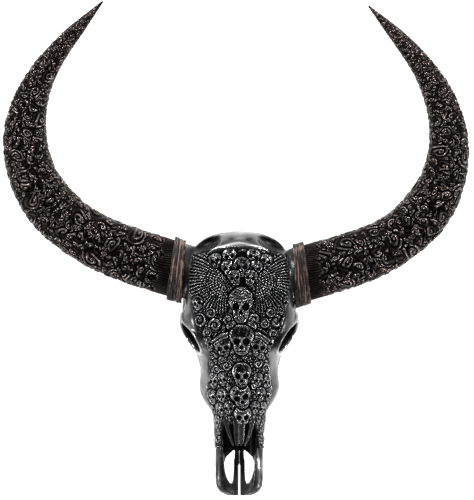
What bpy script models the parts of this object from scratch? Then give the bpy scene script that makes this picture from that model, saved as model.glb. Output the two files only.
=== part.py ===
# A water buffalo skull with carved, bound horns, lying on its cheek teeth with the forehead up.
# Metres, +Z up. Bones are modelled with y counted from the tip of the nose towards the horns,
# and one empty then sets the whole skull over the origin, at the centre of its plan.
import math

import bmesh
import bpy
import numpy as np
from mathutils import Matrix, Vector

# Driving sizes, taken as those of an adult swamp buffalo.
skull_length = 0.502
orbit_breadth = 0.219

# Sutures between the bones, counted from the tip of the nose.
suture_gap = 0.0003
premaxilla_end = 0.087
face_end = 0.262
palate_end = 0.308
ridge_station = 0.476
ridge_bow = 0.014
ridge_half_width = 0.084

voxel_size = 0.0024
smooth_rounds = 7
skull_triangles = 7600

bone_colour = (0.028, 0.028, 0.030, 1.0)
horn_colour = (0.035, 0.026, 0.023, 1.0)
twine_colour = (0.115, 0.062, 0.045, 1.0)

# The head's cross-sections: station, half width, height of the widest point, roof, floor,
# and how square the upper and the lower half are (2 is an ellipse).
head_sections = (
    (-0.0015, 0.024, 0.020, 0.027, 0.013, 2.0, 2.0),
    (0.004, 0.0345, 0.020, 0.032, 0.010, 2.3, 2.2),
    (0.012, 0.0415, 0.021, 0.035, 0.009, 2.6, 2.4),
    (0.026, 0.0450, 0.023, 0.038, 0.010, 2.8, 2.4),
    (0.050, 0.0455, 0.026, 0.043, 0.014, 3.0, 2.6),
    (0.090, 0.0455, 0.034, 0.061, 0.018, 3.0, 3.0),
    (0.130, 0.0462, 0.042, 0.086, 0.022, 2.8, 3.2),
    (0.160, 0.0520, 0.047, 0.109, 0.025, 2.4, 3.4),
    (0.180, 0.0655, 0.051, 0.117, 0.026, 2.1, 3.0),
    (0.198, 0.0740, 0.054, 0.124, 0.026, 1.9, 2.6),
    (0.235, 0.0735, 0.064, 0.137, 0.026, 2.0, 3.0),
    (0.265, 0.0765, 0.078, 0.150, 0.027, 2.3, 3.0),
    (0.285, 0.0900, 0.088, 0.161, 0.028, 2.9, 2.6),
    (0.310, 0.1020, 0.096, 0.174, 0.036, 3.2, 2.0),
    (0.337, 0.1080, 0.116, 0.185, 0.072, 3.0, 1.5),
    (0.362, 0.1020, 0.126, 0.191, 0.086, 3.0, 1.5),
    (0.400, 0.0990, 0.128, 0.195, 0.090, 2.8, 1.5),
    (0.440, 0.0950, 0.128, 0.193, 0.092, 2.8, 1.5),
    (0.476, 0.0880, 0.130, 0.184, 0.094, 2.8, 1.5),
)

# The braincase's cross-sections: station, half width, centre height, half height.
braincase_sections = (
    (0.310, 0.026, 0.084, 0.026),
    (0.345, 0.040, 0.094, 0.050),
    (0.385, 0.052, 0.102, 0.066),
    (0.430, 0.060, 0.104, 0.074),
    (0.468, 0.064, 0.100, 0.068),
    (0.488, 0.050, 0.095, 0.052),
)

# The pair of nasal bones, seen in plan from the midline outwards, with their forked tips.
nasal_thickness = 0.0060
nasal_rise_front = 0.090
nasal_rise_back = 0.1500
nasal_crown = 8.5
nasal_sections = (
    (0.0965, 0.0105),
    (0.118, 0.0165),
    (0.145, 0.0240),
    (0.165, 0.0275),
    (0.200, 0.0290),
    (0.235, 0.0300),
    (0.262, 0.0285),
)

# One of the two palatine slots in plan: distance from the midline and station.
slot_outline = (
    (0.0088, 0.0870), (0.0155, 0.0808), (0.0250, 0.0722), (0.0285, 0.0615), (0.0275, 0.0470),
    (0.0240, 0.0330), (0.0195, 0.0240), (0.0160, 0.0210), (0.0135, 0.0225), (0.0115, 0.0290),
    (0.0104, 0.0457), (0.0104, 0.0660), (0.0090, 0.0700), (0.0084, 0.0850),
)

# The horns, which differ a little: where each axis starts, its length, its heading in plan
# at root and tip, where it bends between them, and its breadth in plan at even shares of it.
horn_shapes = {
    "left": {
        "side": -1,
        "root": (0.1034, 0.4253, 0.1290),
        "length": 0.7169,
        "headings": (17.40, 133.87),
        "bend": (0.0606, 0.6645, 1.040),
        "breadth": (0.109, 0.1115, 0.109, 0.105, 0.104, 0.095, 0.086, 0.067, 0.0475, 0.030, 0.004),
    },
    "right": {
        "side": 1,
        "root": (0.1025, 0.4172, 0.1290),
        "length": 0.7168,
        "headings": (16.13, 134.97),
        "bend": (0.0736, 0.6791, 0.925),
        "breadth": (0.109, 0.1095, 0.107, 0.101, 0.100, 0.089, 0.078, 0.063, 0.0455, 0.029, 0.004),
    },
}
horn_flatness_at_root = 0.58
horn_flatness_at_tip = 0.86
horn_dip = 0.014
horn_tip_rise = 0.070
horn_section_points = 20
root_slant = math.radians(13.3)
slant_fade = 0.14

bind_begins = 0.0006
bind_width = 0.0245
bind_clearance = 0.0004
bind_core = 0.0030
bind_ridge = 0.0016
bind_turns = 7

# The eye socket: its rim's centre, the way it faces and its radius.
orbit_centre = Vector((0.0885, 0.3045, 0.1240))
orbit_facing = Vector((0.826, -0.500, 0.240)).normalized()
orbit_radius = 0.0325
orbit_rim = 0.0062
orbit_depth = 0.058

# Upper cheek teeth from front to back, and where the row runs.
tooth_lengths = (0.0165, 0.0190, 0.0200, 0.0240, 0.0280, 0.0300)
tooth_gap = 0.0009
tooth_row_start = 0.1580
tooth_row_front = 0.0405
tooth_row_back = 0.0555
tooth_breadth = 0.0205
tooth_top = 0.0400

# Where the back of the skull rests.
process_foot = (0.0530, 0.4560)


def table_value(rows, column, station):
    """Smoothly interpolated value of one column of a table of sections."""
    stations = np.array([row[0] for row in rows])
    values = np.array([row[column] for row in rows])
    slopes = np.gradient(values, stations)
    i = np.clip(np.searchsorted(stations, station) - 1, 0, len(rows) - 2)
    span = stations[i + 1] - stations[i]
    t = np.clip((station - stations[i]) / span, 0.0, 1.0)
    return (
        (2 * t**3 - 3 * t**2 + 1) * values[i]
        + (t**3 - 2 * t**2 + t) * span * slopes[i]
        + (3 * t**2 - 2 * t**3) * values[i + 1]
        + (t**3 - t**2) * span * slopes[i + 1]
    )


def signed_power(value, power):
    return math.copysign(abs(value) ** power, value)


def new_object(name, mesh, collection):
    obj = bpy.data.objects.new(name, mesh)
    collection.objects.link(obj)
    return obj


def mesh_object(name, bm, collection, place=None):
    """An object made of a bmesh, moved into place in its own mesh."""
    if place is not None:
        bmesh.ops.transform(bm, matrix=place, verts=bm.verts)
    bmesh.ops.recalc_face_normals(bm, faces=bm.faces)
    mesh = bpy.data.meshes.new(name)
    bm.to_mesh(mesh)
    bm.free()
    return new_object(name, mesh, collection)


def loft(name, rings, collection, closed=False):
    """A skin over rings of equal point count, with a fan at each end or closed into a loop."""
    bm = bmesh.new()
    skin = [[bm.verts.new(point) for point in ring] for ring in rings]
    count = len(rings[0])
    pairs = list(zip(skin, skin[1:]))
    if closed:
        pairs.append((skin[-1], skin[0]))
    for lower, upper in pairs:
        for k in range(count):
            bm.faces.new((lower[k], lower[(k + 1) % count], upper[(k + 1) % count], upper[k]))
    if not closed:
        for ring, points in ((skin[0], rings[0]), (skin[-1], rings[-1])):
            middle = bm.verts.new(sum((Vector(p) for p in points), Vector()) / count)
            for k in range(count):
                bm.faces.new((ring[k], ring[(k + 1) % count], middle))
    return mesh_object(name, bm, collection)


def ellipse_ring(centre, side, up, half_side, half_up, count, power=2.0):
    """Points of a superellipse around a centre, in the plane of two unit vectors."""
    ring = []
    for k in range(count):
        angle = 2 * math.pi * k / count
        across = half_side * signed_power(math.cos(angle), 2 / power)
        rise = half_up * signed_power(math.sin(angle), 2 / power)
        ring.append(centre + side * across + up * rise)
    return ring


def tube(name, path, widths, heights, collection, count=16):
    """A profile carried along a path: an upright ellipse of varying width and height."""
    rings = []
    for k, point in enumerate(path):
        along = (path[min(k + 1, len(path) - 1)] - path[max(k - 1, 0)]).normalized()
        side = along.cross(Vector((0, 0, 1))).normalized()
        up = side.cross(along)
        rings.append(ellipse_ring(point, side, up, widths[k], heights[k], count))
    return loft(name, rings, collection)


def ellipsoid(name, centre, radii, collection, turn=None):
    """A UV sphere stretched to three radii, turned and set in place."""
    bm = bmesh.new()
    bmesh.ops.create_uvsphere(bm, u_segments=24, v_segments=16, radius=1.0)
    place = Matrix.Translation(centre) @ (turn or Matrix.Identity(4)) @ Matrix.Diagonal((*radii, 1.0))
    return mesh_object(name, bm, collection, place)


def cone(name, base, tip, base_radius, tip_radius, collection, segments=16):
    """A tapered round peg from one point to another."""
    axis = tip - base
    bm = bmesh.new()
    bmesh.ops.create_cone(
        bm, cap_ends=True, segments=segments, radius1=base_radius, radius2=tip_radius, depth=axis.length
    )
    place = Matrix.Translation((base + tip) / 2) @ axis.to_track_quat("Z", "Y").to_matrix().to_4x4()
    return mesh_object(name, bm, collection, place)


def block(name, low, high, collection):
    """A box between two corners."""
    bm = bmesh.new()
    bmesh.ops.create_cube(bm, size=1.0)
    size = Vector(high) - Vector(low)
    place = Matrix.Translation((Vector(high) + Vector(low)) / 2) @ Matrix.Diagonal((*size, 1.0))
    return mesh_object(name, bm, collection, place)


def prism(name, outline, low, high, axis, collection):
    """An outline extruded along Z (plan outline) or along X (side outline)."""
    bm = bmesh.new()
    if axis == "Z":
        corners = [(a, b, low) for a, b in outline]
        travel = (0, 0, high - low)
    else:
        corners = [(low, a, b) for a, b in outline]
        travel = (high - low, 0, 0)
    face = bm.faces.new([bm.verts.new(corner) for corner in corners])
    raised = bmesh.ops.extrude_face_region(bm, geom=[face])
    far = [v for v in raised["geom"] if isinstance(v, bmesh.types.BMVert)]
    bmesh.ops.translate(bm, verts=far, vec=travel)
    return mesh_object(name, bm, collection)


def boolean(obj, operation, collection=None, other=None):
    modifier = obj.modifiers.new(operation.lower(), "BOOLEAN")
    modifier.operation = operation
    modifier.solver = "EXACT"
    if collection is not None:
        modifier.operand_type = "COLLECTION"
        modifier.collection = collection
    else:
        modifier.object = other
    return modifier


def bake(obj):
    """Replaces an object's mesh by what its modifiers make of it."""
    bpy.context.view_layer.update()
    graph = bpy.context.evaluated_depsgraph_get()
    mesh = bpy.data.meshes.new_from_object(obj.evaluated_get(graph))
    obj.modifiers.clear()
    obj.data = mesh
    return obj


def drop_flaps(bm):
    """Takes out pairs of faces that a cut has left back to back on the same corners."""
    seen = {}
    for face in bm.faces:
        seen.setdefault(frozenset(vert.index for vert in face.verts), []).append(face)
    flaps = [face for faces in seen.values() if len(faces) > 1 for face in faces]
    if flaps:
        bmesh.ops.delete(bm, geom=flaps, context="FACES")


def keep_largest(obj):
    """Drops flaps, and every loose closed surface but the largest."""
    bm = bmesh.new()
    bm.from_mesh(obj.data)
    drop_flaps(bm)
    left = set(bm.verts)
    islands = []
    while left:
        seed = left.pop()
        island = {seed}
        front = [seed]
        while front:
            vert = front.pop()
            for edge in vert.link_edges:
                other = edge.other_vert(vert)
                if other in left:
                    left.remove(other)
                    island.add(other)
                    front.append(other)
        islands.append(island)
    islands.sort(key=len, reverse=True)
    for island in islands[1:]:
        bmesh.ops.delete(bm, geom=list(island), context="VERTS")
    bm.to_mesh(obj.data)
    bm.free()
    return obj


def working_collection(name):
    collection = bpy.data.collections.new(name)
    bpy.context.scene.collection.children.link(collection)
    collection.hide_render = True
    return collection


def remove_collection(collection):
    for obj in list(collection.objects):
        bpy.data.objects.remove(obj)
    bpy.data.collections.remove(collection)


def mirrored(point, side):
    return Vector((side * point[0], point[1], point[2]))


def nasal_top(x, station):
    """Height of the nasal bones' back: a straight rise, crowned across."""
    t = (station - nasal_sections[0][0]) / (nasal_sections[-1][0] - nasal_sections[0][0])
    return nasal_rise_front + (nasal_rise_back - nasal_rise_front) * t - nasal_crown * x * x


def head_envelope(collection):
    """Face, forehead and roof in one loft, ending in the ridge between the horns."""
    rings = []
    for station in np.linspace(head_sections[0][0], ridge_station, 72):
        width, widest, roof, floor, roof_power, floor_power = (
            table_value(head_sections, column, station) for column in range(1, 7)
        )
        bow = ridge_bow * max(0.0, (station - 0.40) / (ridge_station - 0.40)) ** 2
        ring = []
        for k in range(48):
            angle = 2 * math.pi * k / 48
            upper = math.sin(angle) >= 0
            power = roof_power if upper else floor_power
            reach = (roof - widest) if upper else (widest - floor)
            x = width * signed_power(math.cos(angle), 2 / power)
            z = widest + reach * signed_power(math.sin(angle), 2 / power)
            y = station - bow * min(1.6, (x / ridge_half_width) ** 2)
            ring.append(Vector((x, y, z)))
        rings.append(ring)
    return loft("head_envelope", rings, collection)


def braincase(collection):
    """The braincase under the roof, from the choanae to the occiput."""
    rings = []
    for station in np.linspace(braincase_sections[0][0], braincase_sections[-1][0], 24):
        width, middle, height = (table_value(braincase_sections, c, station) for c in (1, 2, 3))
        centre = Vector((0, station, middle))
        rings.append(ellipse_ring(centre, Vector((1, 0, 0)), Vector((0, 0, 1)), width, height, 32, 2.2))
    return loft("braincase", rings, collection)


def occiput(collection):
    """The occipital plate: plan sections of a superellipse, stacked upwards."""
    centre = Vector((0.0, 0.440, 0.104))
    half_width, half_depth, half_height = 0.093, 0.062, 0.078
    rings = []
    for level in np.linspace(-0.995, 0.995, 21):
        shrink = (1 - abs(level) ** 4.4) ** (1 / 2.6)
        lean = 0.010 * (level - 0.2)
        rings.append(
            ellipse_ring(
                centre + Vector((0, -max(0.0, lean), half_height * level)),
                Vector((1, 0, 0)),
                Vector((0, 1, 0)),
                half_width * shrink * (1.0 - 0.14 * max(0.0, -level)),
                half_depth * shrink,
                40,
                2.3,
            )
        )
    return loft("occiput", rings, collection)


def side_bones(collection, side):
    """What each side adds: eye ring, cheek arch, horn core, condyle, bulla and pterygoid."""
    bpy.ops.mesh.primitive_torus_add(
        major_segments=36,
        minor_segments=12,
        major_radius=orbit_radius + 0.5 * orbit_rim,
        minor_radius=orbit_rim,
        location=mirrored(orbit_centre, side),
        rotation=mirrored(orbit_facing, side).to_track_quat("Z", "Y").to_euler(),
    )
    ring = bpy.context.object
    ring.name = f"orbit_ring_{side}"
    for holder in list(ring.users_collection):
        holder.objects.unlink(ring)
    collection.objects.link(ring)
    arch = (
        (0.052, 0.228, 0.062), (0.059, 0.250, 0.069), (0.0695, 0.275, 0.077), (0.0855, 0.300, 0.084),
        (0.0965, 0.326, 0.087), (0.0990, 0.358, 0.086), (0.0960, 0.393, 0.086), (0.0860, 0.425, 0.088),
        (0.0720, 0.450, 0.090),
    )
    tube(
        f"cheek_arch_{side}", [mirrored(p, side) for p in arch],
        [0.016, 0.0155, 0.0125, 0.0105, 0.0085, 0.0078, 0.0080, 0.011, 0.016],
        [0.022, 0.022, 0.019, 0.0155, 0.0135, 0.0120, 0.0125, 0.016, 0.022],
        collection,
    )
    strut = ((0.1010, 0.341, 0.086), (0.1050, 0.343, 0.108), (0.1045, 0.342, 0.132), (0.0980, 0.343, 0.150))
    rings = []
    for k, point in enumerate(strut):
        half = (0.014, 0.009, 0.009, 0.014)[k]
        rings.append(
            ellipse_ring(mirrored(point, side), Vector((1, 0, 0)), Vector((0, 1, 0)), half * 0.62, half, 14)
        )
    loft(f"eye_strut_{side}", rings, collection)
    root_x, root_y, root_z = horn_shapes["left" if side < 0 else "right"]["root"]
    core = (
        (0.0450, 0.4135, 0.1310), (0.0760, 0.4165, 0.1305), (0.0910, 0.4185, 0.1295),
        (root_x - 0.0030, root_y - 0.001, root_z), (root_x + 0.0180, root_y + 0.0052, root_z),
    )
    tube(
        f"horn_core_{side}", [mirrored(p, side) for p in core],
        [0.0490, 0.0465, 0.0450, 0.0520, 0.0530], [0.0400, 0.0350, 0.0300, 0.0300, 0.0300], collection, 32,
    )
    ellipsoid(f"condyle_{side}", mirrored((0.026, 0.479, 0.046), side), (0.019, 0.021, 0.029), collection)
    ellipsoid(f"ear_bulla_{side}", mirrored((0.040, 0.423, 0.040), side), (0.014, 0.021, 0.021), collection)
    foot = mirrored((process_foot[0], process_foot[1], 0.012), side)
    cone(f"jugular_process_{side}", mirrored((0.064, 0.448, 0.080), side), foot, 0.022, 0.0085, collection)
    pterygoid = ((0.024, 0.305, 0.046), (0.025, 0.322, 0.042), (0.026, 0.342, 0.046), (0.028, 0.365, 0.060))
    tube(
        f"pterygoid_{side}", [mirrored(p, side) for p in pterygoid],
        [0.006, 0.005, 0.005, 0.006], [0.024, 0.022, 0.020, 0.020], collection, 12,
    )


def socket(collection, side, shrink, depth_in):
    """The hollow of one eye socket."""
    facing = mirrored(orbit_facing, side)
    turn = facing.to_track_quat("Z", "Y").to_matrix().to_4x4()
    radius = orbit_radius * shrink
    centre = mirrored(orbit_centre, side) - facing * depth_in
    ellipsoid(f"socket_{side}", centre, (radius, radius, orbit_depth * 0.80), collection, turn)


def skull_cutters(collection):
    """What is cut from the head: sockets, fossae, nasal passage, slots, choanae and foramen."""
    for side in (-1, 1):
        socket(collection, side, 0.98, 0.008)
        ellipsoid(
            f"temporal_fossa_{side}", mirrored((0.100, 0.392, 0.094), side), (0.040, 0.047, 0.036), collection
        )
        ellipsoid(
            f"under_cheek_{side}", mirrored((0.092, 0.378, 0.040), side), (0.046, 0.062, 0.040), collection
        )
        swing = Matrix.Rotation(side * math.radians(-24), 4, "Z")
        ellipsoid(
            f"crown_hollow_{side}", mirrored((0.066, 0.4785, 0.172), side), (0.032, 0.0125, 0.034), collection, swing
        )
        ellipsoid(
            f"crown_dimple_{side}", mirrored((0.0165, 0.492, 0.192), side), (0.015, 0.016, 0.018), collection
        )
        outline = [(side * x, station) for x, station in slot_outline]
        prism(f"palatine_slot_{side}", outline, -0.01, 0.12, "Z", collection)
    passage = []
    for station in np.linspace(-0.012, 0.222, 36):
        width = table_value(head_sections, 1, max(station, 0.0))
        narrow = min(1.0, max(0.0, (station - 0.130) / 0.035))
        inner = max(0.012, min(0.031, width - 0.0135)) * (1 - narrow) + 0.0215 * narrow
        inner *= min(1.0, max(0.35, (0.240 - station) / 0.05))
        low = 0.0275 + 0.16 * max(0.0, station - 0.11)
        high = nasal_top(0.0, station) - 0.005 if station > 0.150 else 0.13
        centre = Vector((0, station, (low + high) / 2))
        passage.append(
            ellipse_ring(centre, Vector((1, 0, 0)), Vector((0, 0, 1)), inner, (high - low) / 2, 28, 4.5)
        )
    loft("nasal_passage", passage, collection)
    block("front_slit", (-0.0021, -0.02, -0.02), (0.0021, 0.0580, 0.12), collection)
    choana = []
    for station in np.linspace(0.3125, 0.368, 10):
        rise = 0.032 + 0.36 * (station - 0.3125)
        centre = Vector((0, station, rise))
        choana.append(ellipse_ring(centre, Vector((1, 0, 0)), Vector((0, 0, 1)), 0.0185, 0.020, 20, 2.5))
    loft("choanae", choana, collection)
    upright = Matrix.Rotation(math.radians(90), 4, "X")
    ellipsoid("foramen_magnum", Vector((0, 0.497, 0.074)), (0.0165, 0.0165, 0.030), collection, upright)


def whole_skull():
    """All the bone in one organic body, before it is parted along its sutures."""
    skull = head_envelope(bpy.context.scene.collection)
    steps = (("bones", "UNION"), ("openings", "DIFFERENCE"), ("side_bones", "UNION"), ("sockets", "DIFFERENCE"))
    for step, operation in steps:
        pieces = working_collection(step)
        if step == "bones":
            braincase(pieces)
            occiput(pieces)
        if step == "openings":
            skull_cutters(pieces)
        for side in (-1, 1):
            if step == "side_bones":
                side_bones(pieces, side)
            if step == "sockets":
                socket(pieces, side, 0.92, 0.002)
        boolean(skull, operation, collection=pieces)
        bake(skull)
        remove_collection(pieces)
    remesh = skull.modifiers.new("remesh", "REMESH")
    remesh.mode = "VOXEL"
    remesh.voxel_size = voxel_size
    smooth = skull.modifiers.new("smooth", "SMOOTH")
    smooth.factor = 0.5
    smooth.iterations = smooth_rounds
    half = skull.modifiers.new("mirror", "MIRROR")
    half.use_axis = (True, False, False)
    half.use_bisect_axis = (True, False, False)
    half.merge_threshold = 0.0001
    bake(skull)
    keep_largest(skull)
    triangles = sum(len(face.vertices) - 2 for face in skull.data.polygons)
    thin = skull.modifiers.new("decimate", "DECIMATE")
    thin.ratio = skull_triangles / triangles
    thin.use_symmetry = True
    thin.symmetry_axis = "X"
    return keep_largest(bake(skull))


def copy_of(obj, name, collection):
    twin = bpy.data.objects.new(name, obj.data.copy())
    collection.objects.link(twin)
    return twin


def nasal_slab(name, side, grow, collection):
    """One nasal bone as a crowned plate; grown a little, it cuts its own seat."""
    stations = [row[0] for row in nasal_sections]
    lines = []
    near = suture_gap / 2 - grow
    for station in np.linspace(stations[0] - grow, stations[-1], 15):
        far = table_value(nasal_sections, 1, station) + grow
        row = [near + (far - near) * t for t in (0.0, 0.3, 0.55, 0.78, 1.0)]
        top = [Vector((side * x, station, nasal_top(x, station) + 0.0006 + 60 * grow)) for x in row]
        low = [Vector((side * x, station, nasal_top(x, station) - nasal_thickness - grow)) for x in row]
        lines.append(top + low[::-1])
    return loft(name, lines, collection)


def parted_bones(skull, collection):
    """Parts the skull along thin sutures into cranium, muzzle, nasals and premaxillae."""
    gap = suture_gap
    muzzle = copy_of(skull, "muzzle", collection)
    bounds = (
        (premaxilla_end + gap, -0.1), (premaxilla_end + gap, 0.3), (face_end, 0.3), (face_end, 0.056),
        (palate_end, 0.047), (palate_end, -0.1),
    )
    cutters = working_collection("muzzle_bounds")
    boolean(muzzle, "INTERSECT", other=prism("muzzle_bounds", bounds, -0.3, 0.3, "X", cutters))
    bake(muzzle)
    for side in (-1, 1):
        seat = nasal_slab(f"nasal_seat_{side}", side, gap, cutters)
        boolean(muzzle, "DIFFERENCE", other=seat)
        bake(muzzle)
    remove_collection(cutters)
    keep_largest(muzzle)

    cranium = copy_of(skull, "cranium", collection)
    beyond = (
        (-0.2, -0.1), (-0.2, 0.3), (face_end + gap, 0.3), (face_end + gap, 0.056 + gap),
        (palate_end + gap, 0.047 + gap), (palate_end + gap, -0.1),
    )
    cutters = working_collection("cranium_bounds")
    prism("front_of_cranium", beyond, -0.3, 0.3, "X", cutters)
    for word, shape in horn_shapes.items():
        heading = math.radians(shape["headings"][0]) - root_slant
        ahead = Vector((shape["side"] * math.cos(heading), math.sin(heading), 0))
        middle = mirrored(shape["root"], shape["side"]) + ahead * (0.05 - gap)
        turn = Matrix.Rotation(math.atan2(ahead.y, ahead.x), 4, "Z")
        bm = bmesh.new()
        bmesh.ops.create_cube(bm, size=1.0)
        place = Matrix.Translation(middle) @ turn @ Matrix.Diagonal((0.1, 0.13, 0.16, 1.0))
        mesh_object(f"horn_seat_{word}", bm, cutters, place)
    boolean(cranium, "DIFFERENCE", collection=cutters)
    bake(cranium)
    remove_collection(cutters)
    keep_largest(cranium)

    front = []
    for side, word in ((-1, "left"), (1, "right")):
        cutters = working_collection("premaxilla_bounds")
        bone = copy_of(skull, f"premaxilla_{word}", collection)
        low = (gap / 2, -0.1, -0.1) if side > 0 else (-0.3, -0.1, -0.1)
        high = (0.3, premaxilla_end, 0.3) if side > 0 else (-gap / 2, premaxilla_end, 0.3)
        boolean(bone, "INTERSECT", other=block("premaxilla_bounds", low, high, cutters))
        bake(bone)
        remove_collection(cutters)
        front.append(keep_largest(bone))
        nasal = nasal_slab(f"nasal_{word}", side, 0.0, collection)
        cutters = working_collection("nasal_fork")
        fork = [(side * x, y) for x, y in ((0.0052, 0.09), (0.0078, 0.09), (0.0092, 0.136), (0.0066, 0.136))]
        boolean(nasal, "DIFFERENCE", other=prism("nasal_fork", fork, 0.0, 0.2, "Z", cutters))
        bake(nasal)
        remove_collection(cutters)
        front.append(keep_largest(nasal))
    return cranium, muzzle, front


def add_teeth(muzzle):
    """Six cheek teeth a side, standing on the floor with worn, flat crowns."""
    crowns = working_collection("crowns")
    total = sum(tooth_lengths)
    for side in (-1, 1):
        start = tooth_row_start
        for number, length in enumerate(tooth_lengths):
            middle = start + length / 2
            t = (middle - tooth_row_start) / total
            x = tooth_row_front + (tooth_row_back - tooth_row_front) * t
            breadth = tooth_breadth * (0.72 + 0.28 * min(1.0, t * 2.2))
            lean = math.atan2(tooth_row_back - tooth_row_front, total)
            rings = []
            for height, grown in ((0.0, 0.88), (0.002, 0.98), (0.016, 1.0), (tooth_top, 0.86)):
                centre = Vector((side * (x - 0.10 * height), middle, height))
                along = Vector((side * math.sin(lean), math.cos(lean), 0))
                across = Vector((along.y, -along.x, 0))
                rings.append(
                    ellipse_ring(
                        centre, along, across, (length - tooth_gap) / 2 * grown, breadth / 2 * grown, 12, 3.2
                    )
                )
            loft(f"crown_{side}_{number}", rings, crowns)
            start += length
    boolean(muzzle, "UNION", collection=crowns)
    bake(muzzle)
    remove_collection(crowns)
    return keep_largest(muzzle)


def add_process_feet(cranium):
    """The jugular processes end in small flats on the floor."""
    feet = working_collection("feet")
    for side in (-1, 1):
        top = mirrored((*process_foot, 0.0335), side)
        cone(f"process_foot_{side}", top, mirrored((*process_foot, 0.0), side), 0.0088, 0.0060, feet, 13)
    boolean(cranium, "UNION", collection=feet)
    bake(cranium)
    remove_collection(feet)
    return keep_largest(cranium)


def horn_axis(shape, count):
    """Points along one horn's axis, their headings and the share of its length at each one."""
    length = shape["length"]
    begin, end, ease = shape["bend"]
    fine = np.linspace(0.0, length, 1201)
    t = np.clip((fine - begin) / (end - begin), 0.0, 1.0) ** ease
    first, last = shape["headings"]
    heading = np.radians(first + (last - first) * t * t * (3 - 2 * t))
    step = fine[1] - fine[0]
    x = shape["root"][0] + np.concatenate(([0.0], np.cumsum((np.cos(heading[1:]) + np.cos(heading[:-1])) / 2 * step)))
    y = shape["root"][1] + np.concatenate(([0.0], np.cumsum((np.sin(heading[1:]) + np.sin(heading[:-1])) / 2 * step)))
    u = fine / length
    z = shape["root"][2] - horn_dip * np.sin(np.pi * np.clip(u / 0.62, 0, 1)) ** 2
    z = z + horn_tip_rise * np.clip((u - 0.22) / 0.78, 0, 1) ** 1.8
    share = np.linspace(0.0, 1.0, count) ** 0.93
    return [np.interp(share * length, fine, values) for values in (x, y, z, heading)] + [share]


def horn_ring(shape, x, y, z, heading, u, offset, points):
    """One cross-section of a horn: wide in plan, flattened, thicker towards its inner edge."""
    rows = [(k / 10, breadth) for k, breadth in enumerate(shape["breadth"])]
    width = table_value(rows, 1, u)
    flat = horn_flatness_at_root + (horn_flatness_at_tip - horn_flatness_at_root) * u
    half_width = width / 2 + offset
    half_height = width / 2 * flat + offset
    across = Vector((-math.sin(heading), math.cos(heading), 0))
    ahead = Vector((math.cos(heading), math.sin(heading), 0))
    slant = math.tan(root_slant) * max(0.0, 1.0 - u * shape["length"] / slant_fade) ** 2
    ring = []
    for k in range(points):
        angle = 2 * math.pi * k / points
        over = half_width * signed_power(math.cos(angle), 0.90)
        rise = half_height * signed_power(math.sin(angle), 0.90) * (1 + 0.16 * math.cos(angle))
        point = Vector((x, y, z)) + across * over + ahead * (over * slant)
        ring.append(Vector((shape["side"] * point.x, point.y, point.z + rise)))
    return ring


def horn(name, shape, collection):
    x, y, z, heading, share = horn_axis(shape, 34)
    rings = [
        horn_ring(shape, x[k], y[k], z[k], heading[k], share[k], 0.0, horn_section_points)
        for k in range(len(x))
    ]
    return loft(name, rings, collection)


def binding(name, shape, collection):
    """A band of twine wound round the root of a horn: one ridge for each turn."""
    x, y, z, heading, share = horn_axis(shape, 34)
    profile = [(0.0, bind_clearance), (0.5, bind_clearance), (1.0, bind_clearance)]
    for turn in range(bind_turns):
        for part in (0.08, 0.5, 0.92):
            lift = bind_core + (bind_ridge if part == 0.5 else 0.0)
            profile.append((1.0 - (turn + part) / bind_turns, lift))
    columns = []
    for along, lift in profile:
        place = (bind_begins + bind_width * along) / shape["length"]
        centre = [np.interp(place, share, values) for values in (x, y, z, heading)]
        columns.append(horn_ring(shape, *centre, place, lift, horn_section_points))
    rings = [[column[k] for column in columns] for k in range(horn_section_points)]
    return loft(name, rings, collection, closed=True)


def material(name, colour, roughness):
    mat = bpy.data.materials.new(name)
    mat.use_nodes = True
    shader = mat.node_tree.nodes["Principled BSDF"]
    shader.inputs["Base Color"].default_value = colour
    shader.inputs["Roughness"].default_value = roughness
    return mat


def main():
    for thing in list(bpy.data.objects):
        bpy.data.objects.remove(thing)
    body = bpy.data.collections.new("carved_buffalo_skull")
    bpy.context.scene.collection.children.link(body)
    skull = whole_skull()
    cranium, muzzle, front = parted_bones(skull, body)
    bpy.data.objects.remove(skull)
    add_teeth(muzzle)
    add_process_feet(cranium)
    nodes = [cranium, muzzle, *front]
    for word, shape in horn_shapes.items():
        nodes.append(horn(f"horn_{word}", shape, body))
        nodes.append(binding(f"horn_binding_{word}", shape, body))
    points = np.array([tuple(vert.co) for node in nodes for vert in node.data.vertices])
    low, high = points.min(axis=0), points.max(axis=0)
    setting = bpy.data.objects.new("setting", None)
    setting.location = (-(low[0] + high[0]) / 2, -(low[1] + high[1]) / 2, -low[2])
    body.objects.link(setting)
    for node in nodes:
        node.parent = setting
        word = node.name.split("_")[0]
        if node.name.startswith("horn_binding"):
            node.data.materials.clear()
            node.data.materials.append(material(f"{node.name}_twine", twine_colour, 0.75))
        elif word == "horn":
            node.data.materials.clear()
            node.data.materials.append(material(f"{node.name}_black", horn_colour, 0.45))
        else:
            node.data.materials.clear()
            node.data.materials.append(material(f"{node.name}_bone", bone_colour, 0.28))


main()
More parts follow.
